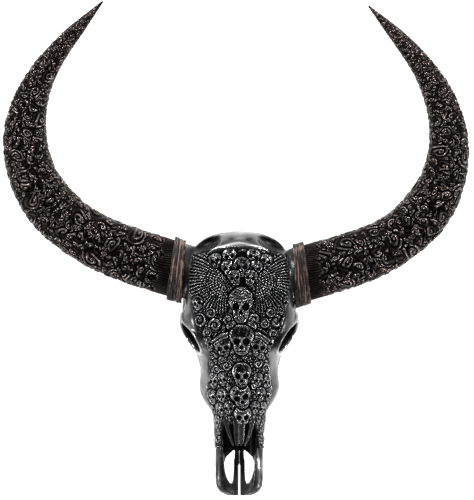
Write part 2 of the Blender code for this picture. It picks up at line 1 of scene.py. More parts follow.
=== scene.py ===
# The carved water buffalo skull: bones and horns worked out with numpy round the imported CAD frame.
import bmesh, bpy, math
import numpy as np
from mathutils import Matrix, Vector


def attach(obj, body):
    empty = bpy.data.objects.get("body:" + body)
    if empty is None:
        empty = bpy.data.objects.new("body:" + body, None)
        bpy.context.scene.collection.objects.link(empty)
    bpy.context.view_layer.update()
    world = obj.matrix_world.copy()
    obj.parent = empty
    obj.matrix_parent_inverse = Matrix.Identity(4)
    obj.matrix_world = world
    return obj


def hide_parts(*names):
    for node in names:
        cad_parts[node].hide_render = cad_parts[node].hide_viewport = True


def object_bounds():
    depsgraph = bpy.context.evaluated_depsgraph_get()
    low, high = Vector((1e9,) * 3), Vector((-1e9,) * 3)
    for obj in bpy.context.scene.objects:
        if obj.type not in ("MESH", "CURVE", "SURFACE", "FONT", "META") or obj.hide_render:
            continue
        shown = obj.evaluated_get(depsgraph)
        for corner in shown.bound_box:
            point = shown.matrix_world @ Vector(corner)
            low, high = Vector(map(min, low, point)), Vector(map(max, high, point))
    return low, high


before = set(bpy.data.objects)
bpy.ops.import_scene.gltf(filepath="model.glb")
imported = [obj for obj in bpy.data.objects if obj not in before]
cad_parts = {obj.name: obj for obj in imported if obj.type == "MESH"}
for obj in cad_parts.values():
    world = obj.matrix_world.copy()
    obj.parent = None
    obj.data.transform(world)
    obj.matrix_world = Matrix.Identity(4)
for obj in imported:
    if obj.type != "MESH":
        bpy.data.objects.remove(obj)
cadLow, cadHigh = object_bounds()
print("frame loaded, CAD box", cadLow, cadHigh)

# design coordinates count y from the tip of the nose; this moves them into the frame
setting = np.array((0.00607, -0.46218, 0.0))
# metres to one pixel of the photograph's plan view, the midline's column there, and the row of the nose's tip
photoScale, photoAxis, photoFoot = 0.001873, 239.2, 499.0
xWay, yWay, zWay = np.eye(3)
sides = {"left": -1, "right": 1}


# numbers and grids

def tableValue(rows, column, station):
    # cubic through the table's rows, with slopes taken from neighbouring rows
    rows = np.asarray(rows, dtype=float)
    stations, values = rows[:, 0], rows[:, column]
    slopes = np.gradient(values, stations)
    station = np.asarray(station, dtype=float)
    i = np.clip(np.searchsorted(stations, station) - 1, 0, len(rows) - 2)
    span = stations[i + 1] - stations[i]
    t = np.clip((station - stations[i]) / span, 0.0, 1.0)
    return ((2 * t**3 - 3 * t**2 + 1) * values[i] + (t**3 - 2 * t**2 + t) * span * slopes[i]
            + (3 * t**2 - 2 * t**3) * values[i + 1] + (t**3 - t**2) * span * slopes[i + 1])


def signedPower(value, power):
    # the size of a number to a power, with its sign kept
    return np.sign(value) * np.abs(value) ** power


def smoothStep(low, high, value):
    # 0 below low, 1 above high, and an S curve between
    t = np.clip((value - low) / (high - low), 0.0, 1.0)
    return t * t * (3 - 2 * t)


def bell(value, width):
    # Gauss bell: e to the minus square of value over width
    return np.exp(-(value / width) ** 2)


def unit(vectors):
    # vectors over their own length
    return vectors / np.maximum(np.linalg.norm(vectors, axis=-1, keepdims=True), 1e-12)


def circle(count):
    # angles of evenly spaced places round a circle
    return np.linspace(0, 2 * np.pi, count, endpoint=False)


def smoothNoise(x, y, z, seed, scale):
    # sum of five sine waves in random directions: a soft noise between about -1 and 1
    dice = np.random.default_rng(seed)
    total = 0.0
    for wave in range(5):
        way = dice.normal(size=3)
        way = way / np.linalg.norm(way) / scale * dice.uniform(0.6, 1.6)
        total = total + np.sin(x * way[0] + y * way[1] + z * way[2] + dice.uniform(0, 6.28))
    return total / 2.4


def blurred(height, reach, wrapped=False):
    # running mean over rows and columns, three times over; wrapped closes the columns on themselves
    for _ in range(3):
        for axis in (0, 1):
            ends, low, high = [(0, 0), (0, 0)], [slice(None)] * 2, [slice(None)] * 2
            ends[axis] = (reach + 1, reach)
            total = np.cumsum(np.pad(height, ends, mode="wrap" if wrapped and axis else "edge"), axis=axis)
            low[axis], high[axis] = slice(0, -2 * reach - 1), slice(2 * reach + 1, None)
            height = (total[tuple(high)] - total[tuple(low)]) / (2 * reach + 1)
    return height


# meshes from arrays

def linked(name, data):
    # an object at the origin for a mesh, a lamp or a camera
    thing = bpy.data.objects.new(name, data)
    bpy.context.scene.collection.objects.link(thing)
    return thing


def dressMesh(mesh, values):
    # smooth shading, and one number a vertex for each named quantity
    mesh.polygons.foreach_set("use_smooth", np.ones(len(mesh.polygons), dtype=bool))
    for word, column in values.items():
        layer = mesh.attributes.new(word, "FLOAT", "POINT")
        layer.data.foreach_set("value", np.ascontiguousarray(column, dtype=np.float32).ravel())


def buildMesh(name, points, quads, triangles=None, values=None):
    # loops and faces go in as whole arrays, and a negative signed volume turns the faces round
    triangles = np.zeros((0, 3), dtype=np.int64) if triangles is None else triangles
    a, b, c, d = (points[quads[:, k]] for k in range(4))
    volume = (a * np.cross(b, c)).sum() + (a * np.cross(c, d)).sum()
    if len(triangles):
        a, b, c = (points[triangles[:, k]] for k in range(3))
        volume += (a * np.cross(b, c)).sum()
    if volume < 0:
        quads, triangles = quads[:, ::-1], triangles[:, ::-1]
    mesh = bpy.data.meshes.new(name)
    corners = np.concatenate((quads.ravel(), triangles.ravel())).astype(np.int32)
    starts = np.concatenate((np.arange(len(quads)) * 4, len(quads) * 4 + np.arange(len(triangles)) * 3))
    mesh.vertices.add(len(points))
    mesh.vertices.foreach_set("co", np.ascontiguousarray(points, dtype=np.float32).ravel())
    mesh.loops.add(len(corners))
    mesh.loops.foreach_set("vertex_index", corners)
    mesh.polygons.add(len(starts))
    mesh.polygons.foreach_set("loop_start", starts.astype(np.int32))
    mesh.update(calc_edges=True)
    mesh.validate()
    dressMesh(mesh, values or {})
    return linked(name, mesh)


def tubeArrays(rings):
    # a skin over rings (along, around, 3) with a fan in each end
    along, around = rings.shape[:2]
    index = np.arange(along * around).reshape(along, around)
    beside = np.roll(index, -1, axis=1)
    quads = np.stack((index[:-1], beside[:-1], beside[1:], index[1:]), axis=-1).reshape(-1, 4)
    points = np.concatenate((rings.reshape(-1, 3), rings[:1].mean(axis=1), rings[-1:].mean(axis=1)))
    first = np.stack((beside[0], index[0], np.full(around, along * around)), axis=-1)
    last = np.stack((index[-1], beside[-1], np.full(around, along * around + 1)), axis=-1)
    return points, quads, np.concatenate((first, last))


def tubePiece(name, rings, values=None):
    # one tube; the fans' middles take the mean value of their rings
    points, quads, fans = tubeArrays(rings)
    values = {word: np.concatenate((column.ravel(), [column[0].mean()], [column[-1].mean()]))
              for word, column in (values or {}).items()}
    return buildMesh(name, points, quads, fans, values)


def loopPieces(name, loops, values=None):
    # many closed loops of cord in one mesh: array (cord, around the loop, around the cord, 3)
    count, length, around = loops.shape[:3]
    index = np.arange(count * length * around).reshape(count, length, around)
    ahead, beside = np.roll(index, -1, axis=1), np.roll(index, -1, axis=2)
    quads = np.stack((index, beside, np.roll(ahead, -1, axis=2), ahead), axis=-1).reshape(-1, 4)
    return buildMesh(name, loops.reshape(-1, 3), quads, None, values)


def manyTubes(tubes):
    # points, quads and end fans of several open tubes: array (tube, along, around, 3)
    count, along, around = tubes.shape[:3]
    quads, fans = tubeArrays(tubes[0])[1:]
    ends = np.stack((tubes[:, 0].mean(axis=1), tubes[:, -1].mean(axis=1)), axis=1)
    everything = np.concatenate((tubes.reshape(count, along * around, 3), ends), axis=1)
    step = (np.arange(count) * everything.shape[1])[:, None, None]
    return everything.reshape(-1, 3), (quads[None] + step).reshape(-1, 4), (fans[None] + step).reshape(-1, 3)


def gridNormals(grid, wrapped):
    # cross product of the two directions of a grid
    across = np.gradient(grid, axis=1)
    if wrapped:
        across = (np.roll(grid, -1, axis=1) - np.roll(grid, 1, axis=1)) / 2
    return unit(np.cross(across, np.gradient(grid, axis=0)))


def outward(normals, base, centre):
    # normals that point away from a centre on the whole
    return -normals if ((base - centre) * normals).sum() < 0 else normals


def finish(piece, material, *nodes, slot="carved_bone"):
    # a finished piece: its material, its body and the CAD nodes it stands for; slot is not used
    piece.data.materials.clear()
    piece.data.materials.append(material)
    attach(piece, "root")
    if nodes:
        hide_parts(*nodes)
    return piece


# finishes

finishLooks = {
    # colours run from the pits over body and ridges to the crests, at the levels of wear and painted shade under
    # shared: the lighter crests are wear, the black pits are painted shade
    "carvedBone": {"colours": ((0.0002, 0.0002, 0.0002), (0.0036, 0.0036, 0.0037), (0.0135, 0.0135, 0.0138),
                               (0.230, 0.230, 0.235)), "metallic": 0.84, "grain": 0.22, "grainScale": 480.0},
    "carvedHorn": {"colours": ((0.0002, 0.0002, 0.0002), (0.0030, 0.0022, 0.0019), (0.0170, 0.0128, 0.0112),
                               (0.200, 0.166, 0.154)), "metallic": 0.80, "grain": 0.18, "grainScale": 420.0},
    "shared": {"levels": (0.10, 0.36, 0.60, 0.92), "specular": 0.08, "roughness": (0.42, 0.20),
               "patchScale": 55.0, "patchShare": 0.30, "mottle": (0.55, 1.25), "grainDepth": 0.0012},
    "polishAndPaintedSheen": {"colours": ((0.002, 0.002, 0.002), (0.020, 0.020, 0.021), (0.190, 0.190, 0.194),
                           (0.85, 0.85, 0.86)), "levels": (0.0, 0.23, 0.62, 1.0), "gain": 0.65,
               "metallic": 0.80, "roughness": (0.36, 0.15), "patchScale": 34.0, "patchShare": 0.22,
               "grain": 0.06, "grainScale": 620.0, "grainDepth": 0.0010},
    "twine": {"colours": ((0.0030, 0.0015, 0.0012), (0.018, 0.0088, 0.0070), (0.26, 0.158, 0.134)),
              "levels": (0.18, 0.50, 0.92), "roughness": 0.62, "patchScale": 120.0, "patchShare": 0.2,
              "fibreShare": 0.25, "grain": 0.5, "grainScale": 900.0, "grainDepth": 0.0006},
}


def feed(tree, socket, value):
    # another node's output comes in by a link, a plain value is set on the socket
    if isinstance(value, bpy.types.NodeSocket):
        tree.links.new(value, socket)
    else:
        socket.default_value = value


def addNode(tree, kind, inputs, **settings):
    # a shader node with its settings made and its inputs fed
    node = tree.nodes.new("ShaderNode" + kind)
    for word, value in settings.items():
        setattr(node, word, value)
    for word, value in inputs.items():
        feed(tree, node.inputs[word], value)
    return node


def addNoise(tree, place, scale, detail):
    # noise over the place, about 0.3 to 0.7
    return addNode(tree, "TexNoise", {"Vector": place, "Scale": scale, "Detail": detail}).outputs["Fac"]


def addMath(tree, operation, *values):
    # one sum, product or product and sum
    return addNode(tree, "Math", dict(enumerate(values)), operation=operation).outputs[0]


def addRange(tree, value, low, high, newLow, newHigh):
    # low to high is stretched to newLow to newHigh
    numbers = {"Value": value, "From Min": low, "From Max": high, "To Min": newLow, "To Max": newHigh}
    return addNode(tree, "MapRange", numbers).outputs["Result"]


def addRamp(tree, value, levels, colours):
    # one colour at each level, blended between them
    ramp = addNode(tree, "ValToRGB", {"Fac": value})
    band = ramp.color_ramp
    while len(band.elements) < len(levels):
        band.elements.new(0.5)
    for element, level, colour in zip(band.elements, levels, colours):
        element.position = level
        element.color = (*colour, 1.0)
    return ramp.outputs["Color"]


def addBump(tree, height, look):
    # fine grain, in the shading alone
    numbers = {"Height": height, "Strength": look["grain"], "Distance": look["grainDepth"]}
    return addNode(tree, "Bump", numbers).outputs["Normal"]


def newMaterial(name, values):
    # values go to the main shader's sockets
    material = bpy.data.materials.new(name)
    material.use_nodes = True
    fillShader(material.node_tree, values)
    return material


def fillShader(tree, values):
    # the main shader's sockets by name
    for word, value in values.items():
        feed(tree, tree.nodes["Principled BSDF"].inputs[word], value)


def patternOf(material, attribute):
    # what the patterns read: the place on the piece and the piece's own attribute
    tree = material.node_tree
    place = addNode(tree, "TexCoord", {}).outputs["Object"]
    return tree, place, addNode(tree, "Attribute", {}, attribute_name=attribute).outputs["Fac"]


def carvedFinish(name):
    # painted shade in the pits, worn lighter and smoother on the crests: the carving's wear and painted shade lead
    # colour and gloss
    look = {**finishLooks["shared"], **finishLooks[name]}
    material = newMaterial(name, {"Specular IOR Level": look["specular"], "Metallic": look["metallic"]})
    tree, place, relief = patternOf(material, "relief")
    patch = addNoise(tree, place, look["patchScale"], 3.0)
    grain = addNoise(tree, place, look["grainScale"], 6.0)
    wear = addMath(tree, "MULTIPLY_ADD", patch, look["patchShare"], -look["patchShare"] / 2)
    level = addMath(tree, "ADD", relief, wear)
    tint = addRamp(tree, grain, (0.30, 0.70), [(share,) * 3 for share in look["mottle"]])
    colour = addNode(tree, "Mix", {0: 1.0, 6: addRamp(tree, level, look["levels"], look["colours"]), 7: tint},
                     data_type="RGBA", blend_type="MULTIPLY").outputs[2]
    fillShader(tree, {"Base Color": colour, "Roughness": addRange(tree, level, 0.2, 1.0, *look["roughness"]),
                      "Normal": addBump(tree, grain, look)})
    return material


def polishedFinishWithPaintedSheen(name, look):
    # polished bone with painted sheen: silver grey where the shine attribute paints a reflection and graphite where
    # it does not, with fine scratches
    material = newMaterial(name, {"Metallic": look["metallic"]})
    tree, place, shine = patternOf(material, "shine")
    patch = addNoise(tree, place, look["patchScale"], 4.0)
    grain = addNoise(tree, place, look["grainScale"], 5.0)
    share = look["patchShare"]
    level = addMath(tree, "ADD", shine, addRange(tree, patch, 0.3, 0.7, -share, share))
    gained = addMath(tree, "MULTIPLY", level, look["gain"])
    colour = addRamp(tree, gained, look["levels"], look["colours"])
    fillShader(tree, {"Base Color": colour, "Roughness": addRange(tree, level, 0.2, 1.0, *look["roughness"]),
                      "Normal": addBump(tree, addMath(tree, "ADD", grain, patch), look)})
    return material


def twineFinish(name, look):
    # each strand has its own tone, with pale fibres in it
    material = newMaterial(name, {"Roughness": look["roughness"]})
    tree, place, tone = patternOf(material, "tone")
    fibre = addNoise(tree, place, look["grainScale"], 4.0)
    patch = addNoise(tree, place, look["patchScale"], 3.0)
    level = tone
    for noise, low, high, share in ((fibre, 0.35, 0.65, look["fibreShare"]), (patch, 0.3, 0.7, look["patchShare"])):
        level = addMath(tree, "ADD", level, addRange(tree, noise, low, high, -share, share))
    fillShader(tree, {"Base Color": addRamp(tree, level, look["levels"], look["colours"]),
                      "Normal": addBump(tree, fibre, look)})
    return material


carvedBone, carvedHorn = carvedFinish("carvedBone"), carvedFinish("carvedHorn")
polishedBoneWithPaintedSheen = polishedFinishWithPaintedSheen("polishedBoneWithPaintedSheen", finishLooks["polishAndPaintedSheen"])
twine = twineFinish("twine", finishLooks["twine"])
print("finishes made")


# horns

hornLooks = {
    "left": {"root": (0.1034, 0.4253, 0.1290), "length": 0.7169, "headings": (17.40, 133.87),
             "bend": (0.0606, 0.6645, 1.040), "seed": 11,
             "breadth": (0.109, 0.1115, 0.109, 0.105, 0.104, 0.095, 0.086, 0.067, 0.0475, 0.030, 0.004)},
    "right": {"root": (0.1025, 0.4172, 0.1290), "length": 0.7168, "headings": (16.13, 134.97),
              "bend": (0.0736, 0.6791, 0.925), "seed": 23,
              "breadth": (0.109, 0.1095, 0.107, 0.101, 0.100, 0.089, 0.078, 0.063, 0.0455, 0.029, 0.004)},
    "both": {"flat": (0.58, 0.86), "square": 0.90, "keel": 0.16, "dip": 0.014, "rise": 0.070, "slant": 13.3,
             "slantFade": 0.14},
}
hornCarving = {
    "around": 264, "along": 660, "cuts": (0, 175, 345, 505, 659), "depth": 0.0044, "fullBreadth": 0.070,
    # each size of motif: radius, how far they keep apart, turns of the spiral, stretch, height, darts thrown
    "motifs": ((0.0190, 0.92, 2.8, 1.55, 1.00, 70), (0.0115, 0.78, 1.9, 1.70, 0.96, 1500),
               (0.0066, 0.74, 1.15, 1.60, 0.90, 7000), (0.0036, 0.82, 0.6, 1.25, 0.86, 22000)),
    "spread": (0.74, 1.22), "bow": (0.18, 0.55), "lean": 0.35, "core": 0.34, "beads": 11.0,
    "ring": (0.52, 0.30), "gap": (0.015, 0.22), "edgeLoss": 0.40,
    # wear and painted shade: crests worn lighter, pits painted black as shade
    "wear": (0.46, 1.05, 0.55),  # of level ground, and how much a rise over one cell and over three adds
    "flutes": 76, "fluteEnd": 0.052, "fluteHeight": 0.62,
}


def hornBreadth(look, share):
    # breadth of the horn at a share of its length
    return tableValue([(k / 10, breadth) for k, breadth in enumerate(look["breadth"])], 1, share)


def hornAxis(look, share):
    # the heading turns from root to tip by a smooth step along the bend, and the axis is its integral
    length, both = look["length"], hornLooks["both"]
    begin, end, ease = look["bend"]
    fine = np.linspace(0.0, length, 1201)
    t = np.clip((fine - begin) / (end - begin), 0.0, 1.0) ** ease
    first, last = look["headings"]
    heading = np.radians(first + (last - first) * t * t * (3 - 2 * t))
    step = fine[1] - fine[0]
    x, y = (place + np.concatenate(([0.0], np.cumsum((way[1:] + way[:-1]) / 2 * step)))
            for place, way in zip(look["root"], (np.cos(heading), np.sin(heading))))
    u = fine / length
    z = look["root"][2] - both["dip"] * np.sin(np.pi * np.clip(u / 0.62, 0, 1)) ** 2
    z = z + both["rise"] * np.clip((u - 0.22) / 0.78, 0, 1) ** 1.8
    return [np.interp(share * length, fine, row) for row in (x, y, z, heading)]


def hornPoints(word, share, angle, lift):
    # flattened superellipse across the axis, thicker towards the inside of the bow; lift grows it
    look, both = hornLooks[word], hornLooks["both"]
    x, y, z, heading = hornAxis(look, share)
    half = hornBreadth(look, share) / 2
    flat = both["flat"][0] + (both["flat"][1] - both["flat"][0]) * share
    over, rise = (signedPower(way(angle), both["square"]) for way in (np.cos, np.sin))
    over, rise = (half + lift) * over, (half * flat + lift) * rise * (1 + both["keel"] * np.cos(angle))
    # the root is cut aslant: the rear side of each section near it leads
    lead = over * math.tan(math.radians(both["slant"])) * np.clip(
        1 - share * look["length"] / both["slantFade"], 0, 1) ** 2
    x, y = x + np.cos(heading) * lead, y + np.sin(heading) * lead
    across = sides[word] * (x - np.sin(heading) * over)
    return np.stack((across, y + np.cos(heading) * over, z + rise), axis=-1) + setting


def motifSeeds(grid, share, look, dice):
    # darts thrown at the surface, large motifs first: one stays if it clears all that stay already
    shrink = np.clip(hornBreadth(look, share) / 0.094, 0.22, 1.06) ** 0.75
    long, wide = (np.linalg.norm(np.gradient(grid, axis=axis), axis=-1) for axis in (0, 1))
    weight = (long * wide / np.maximum(shrink[:, None] ** 2, 1e-3)).ravel()
    weight = weight / weight.sum()
    seeds, places, sizes = [], np.zeros((0, 3)), np.zeros(0)
    for kind, (radius, apart, *_, count) in enumerate(hornCarving["motifs"]):
        darts = dice.choice(len(weight), size=count, p=weight, replace=False)
        spots = grid.reshape(-1, 3)[darts]
        spread = radius * shrink[darts // grid.shape[1]] * dice.uniform(*hornCarving["spread"], len(darts))
        free = np.ones(len(darts), dtype=bool)
        for place, size in zip(places, sizes):
            free &= np.linalg.norm(spots - place, axis=1) > apart * (spread + size)
        while free.any():
            k = int(np.argmax(free))
            free[k] = False
            seeds.append((darts[k] // grid.shape[1], darts[k] % grid.shape[1], spread[k], kind))
            places, sizes = np.concatenate((places, spots[k:k + 1])), np.append(sizes, spread[k])
            free &= np.linalg.norm(spots - spots[k], axis=1) > apart * (spread + spread[k])
    return seeds


def motifFields(grid, normals, share, look):
    # each point belongs to the motif that is nearest for its size; its place in that motif comes along
    dice = np.random.default_rng(look["seed"])
    seeds, along = motifSeeds(grid, share, look, dice), unit(np.gradient(grid, axis=0))
    shape = grid.shape[:2]
    best, second = np.full(shape, 9.0), np.full(shape, 9.0)
    inX, inY, kindOf, hand = np.zeros(shape), np.zeros(shape), np.zeros(shape, dtype=int), np.ones(shape)
    spacing = look["length"] / (shape[0] - 1)
    for row, column, size, kind in seeds:
        reach = int(2.1 * size / spacing) + 3
        window = slice(max(0, row - reach), min(shape[0], row + reach + 1))
        normal, forward = normals[row, column], along[row, column]
        sideways = np.cross(normal, forward)
        swing = dice.uniform(0, 2 * np.pi)
        first = forward * np.cos(swing) + sideways * np.sin(swing)
        gap = grid[window] - grid[row, column]
        x, y, z = gap @ first / size, gap @ np.cross(normal, first) / size, gap @ normal / size
        # the motif is bowed and stretched
        y = y - dice.uniform(*hornCarving["bow"]) * dice.choice((-1, 1)) * (x * x - 0.25)
        x = x / hornCarving["motifs"][kind][3]
        far = np.sqrt(x * x + y * y + z * z)
        nearer = far < best[window]
        second[window] = np.where(nearer, best[window], np.minimum(second[window], far))
        lean, way = dice.uniform(0.0, hornCarving["lean"]), dice.choice((-1, 1))
        for field, value in ((best, far), (inX, x - lean), (inY, y), (kindOf, kind), (hand, way)):
            field[window] = np.where(nearer, value, field[window])
    return best, second, inX, inY, kindOf, hand


def carveHorn(grid, normals, share, look):
    # Archimedean spirals: a ridge wherever turns x radius + angle is a whole number; a bulb in the middle,
    # a beaded outer band on the large ones, drilled beads for the small ones, and a black gap between motifs
    best, second, inX, inY, kindOf, hand = motifFields(grid, normals, share, look)
    turns, heights = (np.array([row[k] for row in hornCarving["motifs"]])[kindOf] for k in (2, 4))
    radius, angle = np.hypot(inX, inY), np.arctan2(inY, inX) * hand
    ridge = (0.5 - 0.5 * np.cos(2 * np.pi * (turns * radius - angle / (2 * np.pi)))) ** 0.9
    # each scroll is open on one side, where its arcs run out
    ridge = ridge * (0.25 + 0.75 * smoothStep(-0.75, 0.05, np.cos(angle - 0.6) + 0.5 * (radius < 0.45)))
    beads = 0.35 + 0.65 * np.abs(np.cos(angle * hornCarving["beads"])) ** 0.8
    ridge = np.where((kindOf == 0) & (radius > 0.80), ridge * beads, ridge)
    core = hornCarving["core"] / np.maximum(turns, 0.8)
    ridge = np.where(radius < core * 1.25, np.sqrt(np.clip(1 - (radius / core) ** 2, 0, 1)), ridge)
    middle, width = hornCarving["ring"]
    height = np.where(kindOf == 3, bell(radius - middle, width), 0.10 + 0.90 * ridge)
    height = height * np.clip(1 - 0.30 * best**2, 0.5, 1) * heights
    height = height * smoothStep(*hornCarving["gap"], second - best)
    # flutes run along the root, up to where the motifs start
    angles, run = circle(grid.shape[1])[None, :], (share * look["length"])[:, None]
    wobble = 3 * smoothNoise(angles * 6, run * 60, 0, 4, 1.0)
    flutes = 0.62 + 0.38 * np.sin(angles * hornCarving["flutes"] / 2 + wobble) ** 2
    border = hornCarving["fluteEnd"] + 0.005 * np.sin(angles * 9) + 0.003 * np.sin(angles * 23 + 1)
    blend = smoothStep(-0.0015, 0.0015, run - border)
    flutes = flutes * hornCarving["fluteHeight"] * (1 - 0.75 * bell(run - border, 0.0018))
    return height * blend + flutes * (1 - blend)


def buildHorn(word):
    # the carving stands on a skin a carving's depth inside the horn, so its crests reach the full size
    look, angle = hornLooks[word], circle(hornCarving["around"])[None, :]
    share = np.linspace(0.0, 1.0, hornCarving["along"])
    full = np.clip(hornBreadth(look, share) / hornCarving["fullBreadth"], 0.10, 1.0)[:, None]
    depth = hornCarving["depth"] * full
    base = hornPoints(word, share[:, None], angle, -depth)
    normals = outward(gridNormals(base, True), base, base.mean(axis=1, keepdims=True))
    relief = carveHorn(base, normals, share, look)
    # places that stand above their surroundings are worn bright; places below them are painted black as shade
    level, close, wide = hornCarving["wear"]
    wearAndPaintedShade = level + close * (relief - blurred(relief, 1, True)) + wide * (relief - blurred(relief, 3, True))
    wearAndPaintedShade = np.clip(wearAndPaintedShade, 0, 1)
    # the carving is shallower along the two edges of the horn
    edges = 1 - hornCarving["edgeLoss"] * np.abs(np.cos(angle)) ** 6
    surface = base + normals * (relief * depth * edges)[..., None]
    cuts = hornCarving["cuts"]
    for number, (start, stop) in enumerate(zip(cuts, cuts[1:])):
        part = slice(start, stop + 1)
        piece = tubePiece(f"horn_{word}_carved_{number + 1}", surface[part], {"relief": wearAndPaintedShade[part]})
        finish(piece, carvedHorn, f"horn_{word}", slot="carved_horn")
    print("horn", word, "carved")


for word in sides:
    buildHorn(word)


# bindings

bindingLook = {"begins": 0.0006, "width": 0.0245, "core": 0.0011, "inside": 0.0003, "sleeveTone": -0.1,
               "seed": 5, "around": 132, "strands": 12, "layers": 2, "thickness": 0.00085, "spread": (0.75, 1.3),
               "border": 0.0007, "scatter": 0.00035, "sway": 0.00052, "climb": 0.00042, "layerRise": 0.00095,
               "edge": 0.0002, "highest": 0.0037, "tones": (-0.10, 0.15, 0.40, 0.70), "fray": 0.55}
looseLook = {"count": 46, "length": (0.06, 0.20), "size": 0.00052, "stray": 0.0042, "lift": 0.0031,
             "curl": (0.0002, 0.0030), "tone": 0.6}


def cordSkin(axis, side, up, radius, count):
    # circles of the radius round each place of the axes, in the plane of side and up
    turn = circle(count)[:, None]
    return axis[:, :, None] + radius * (side[:, :, None] * np.cos(turn) + up[:, :, None] * np.sin(turn))


def wrapHorn(piece, word):
    # a piece of twine that stands for the winding's CAD node
    finish(piece, twine, f"horn_binding_{word}", slot="twine")


def bindHorn(word):
    # strands are loops round the horn's section, wandering a little in place and height, on a plain sleeve
    length, look = hornLooks[word]["length"], bindingLook
    dice = np.random.default_rng(look["seed"] + hornLooks[word]["seed"])
    angle = circle(look["around"])[None, :]
    begins, ends = look["begins"], look["begins"] + look["width"]
    share = (np.linspace(begins, ends, 9) / length)[:, None]
    outer, inner = (hornPoints(word, share, angle, look[lift]) for lift in ("core", "inside"))
    loops = np.moveaxis(np.concatenate((outer, inner[::-1]), axis=0), 0, 1)[None]
    tone = np.full(loops.shape[:3], look["sleeveTone"])
    wrapHorn(loopPieces(f"binding_{word}_sleeve", loops, {"tone": tone}), word)

    count = look["strands"] * look["layers"]
    start = np.linspace(begins + look["border"], ends - look["border"], count)
    start = start + dice.normal(0, look["scatter"], count)
    wave, climb = np.zeros((2, count, look["around"]))
    for beat in range(1, 9):
        swing, offset = dice.normal(0, look["sway"] / beat**0.5, (count, 1)), dice.uniform(0, 6.3, (count, 1))
        wave += swing * np.sin(angle * beat + offset)
        climb += dice.normal(0, look["climb"] / beat**0.3, (count, 1)) * np.sin(angle * beat + offset * 2)
    thick = (look["thickness"] * dice.uniform(*look["spread"], count))[:, None]
    run = np.clip(start[:, None] + wave, begins + look["edge"], ends - look["edge"])
    layer = (np.arange(count) % look["layers"])[:, None]
    lift = look["core"] + thick * 0.6 + layer * look["layerRise"] + np.abs(climb)
    axis = hornPoints(word, run / length, angle + 0 * run, np.minimum(lift, look["highest"]))
    along = unit(np.roll(axis, -1, axis=1) - np.roll(axis, 1, axis=1))
    side = unit(np.cross(along, unit(axis - axis.mean(axis=1, keepdims=True))))
    cords = cordSkin(axis, side, np.cross(side, along), thick[:, :, None, None], 6)
    # some strands are dark and some pale, and each changes along its run
    fray = smoothNoise(angle * 14, dice.uniform(0, 40, (count, 1)), 0 * wave, 8, 1.0)
    tone = dice.choice(look["tones"], count)[:, None] + look["fray"] * fray
    tone = np.broadcast_to(tone[:, :, None], cords.shape[:3])
    wrapHorn(loopPieces(f"binding_{word}_strands", cords, {"tone": tone}), word)
    frayBinding(word, dice, begins, length)
    print("binding", word, "wound")


def frayBinding(word, dice, begins, length):
    # loose ends: short tapering hairs that leave the band along the winding and curl off it
    count = looseLook["count"]
    where, edge = dice.uniform(0, 2 * np.pi, count)[:, None], dice.choice((0.0, 1.0), count)[:, None]
    reach = dice.uniform(*looseLook["length"], count)[:, None]
    step = np.linspace(0, 1, 7)[None, :]
    spin = where + dice.choice((-1, 1), count)[:, None] * reach * step
    stray = step**1.6 * dice.uniform(0.0, looseLook["stray"], count)[:, None]
    run = np.maximum(begins + bindingLook["width"] * np.abs(edge - 0.06) + (edge * 2 - 1) * stray, 0.0)
    lift = looseLook["lift"] + step**1.4 * dice.uniform(*looseLook["curl"], count)[:, None]
    axis = hornPoints(word, run / length, spin, lift)
    along = unit(np.gradient(axis, axis=1))
    side = unit(np.cross(along, np.array((0.3, 0.2, 1.0))))
    size = looseLook["size"] * (1.0 - 0.75 * step)[:, :, None, None]
    points, quads, fans = manyTubes(cordSkin(axis, side, np.cross(side, along), size, 5))
    tone = {"tone": np.full(len(points), looseLook["tone"])}
    wrapHorn(buildMesh(f"binding_{word}_loose_ends", points, quads, fans, tone), word)


for word in sides:
    bindHorn(word)


# the head's outer surface

# station, half width, height of the widest point, roof, floor, squareness of the upper and the lower half
headSections = np.array((
    (-0.0015, 0.024, 0.020, 0.027, 0.013, 2.0, 2.0), (0.004, 0.0345, 0.020, 0.032, 0.010, 2.3, 2.2),
    (0.012, 0.0415, 0.021, 0.035, 0.009, 2.6, 2.4), (0.026, 0.0450, 0.023, 0.038, 0.010, 2.8, 2.4),
    (0.050, 0.0455, 0.026, 0.043, 0.014, 3.0, 2.6), (0.090, 0.0455, 0.034, 0.061, 0.018, 3.0, 3.0),
    (0.130, 0.0462, 0.042, 0.086, 0.022, 2.8, 3.2), (0.160, 0.0520, 0.047, 0.109, 0.025, 2.4, 3.4),
    (0.180, 0.0655, 0.051, 0.117, 0.026, 2.1, 3.0), (0.198, 0.0740, 0.054, 0.124, 0.026, 1.9, 2.6),
    (0.235, 0.0735, 0.064, 0.137, 0.026, 2.0, 3.0), (0.265, 0.0765, 0.078, 0.150, 0.027, 2.3, 3.0),
    (0.285, 0.0900, 0.088, 0.161, 0.028, 2.9, 2.6), (0.310, 0.1020, 0.096, 0.174, 0.036, 3.2, 2.0),
    (0.337, 0.1080, 0.116, 0.185, 0.072, 3.0, 1.5), (0.362, 0.1020, 0.126, 0.191, 0.086, 3.0, 1.5),
    (0.400, 0.0990, 0.128, 0.195, 0.090, 2.8, 1.5), (0.440, 0.0950, 0.128, 0.193, 0.092, 2.8, 1.5),
    (0.476, 0.0880, 0.130, 0.184, 0.094, 2.8, 1.5)))
# station and half width of the nasal bones
nasalSections = np.array(((0.0965, 0.0105), (0.118, 0.0165), (0.145, 0.0240), (0.165, 0.0275),
                          (0.200, 0.0290), (0.235, 0.0300), (0.262, 0.0285)))
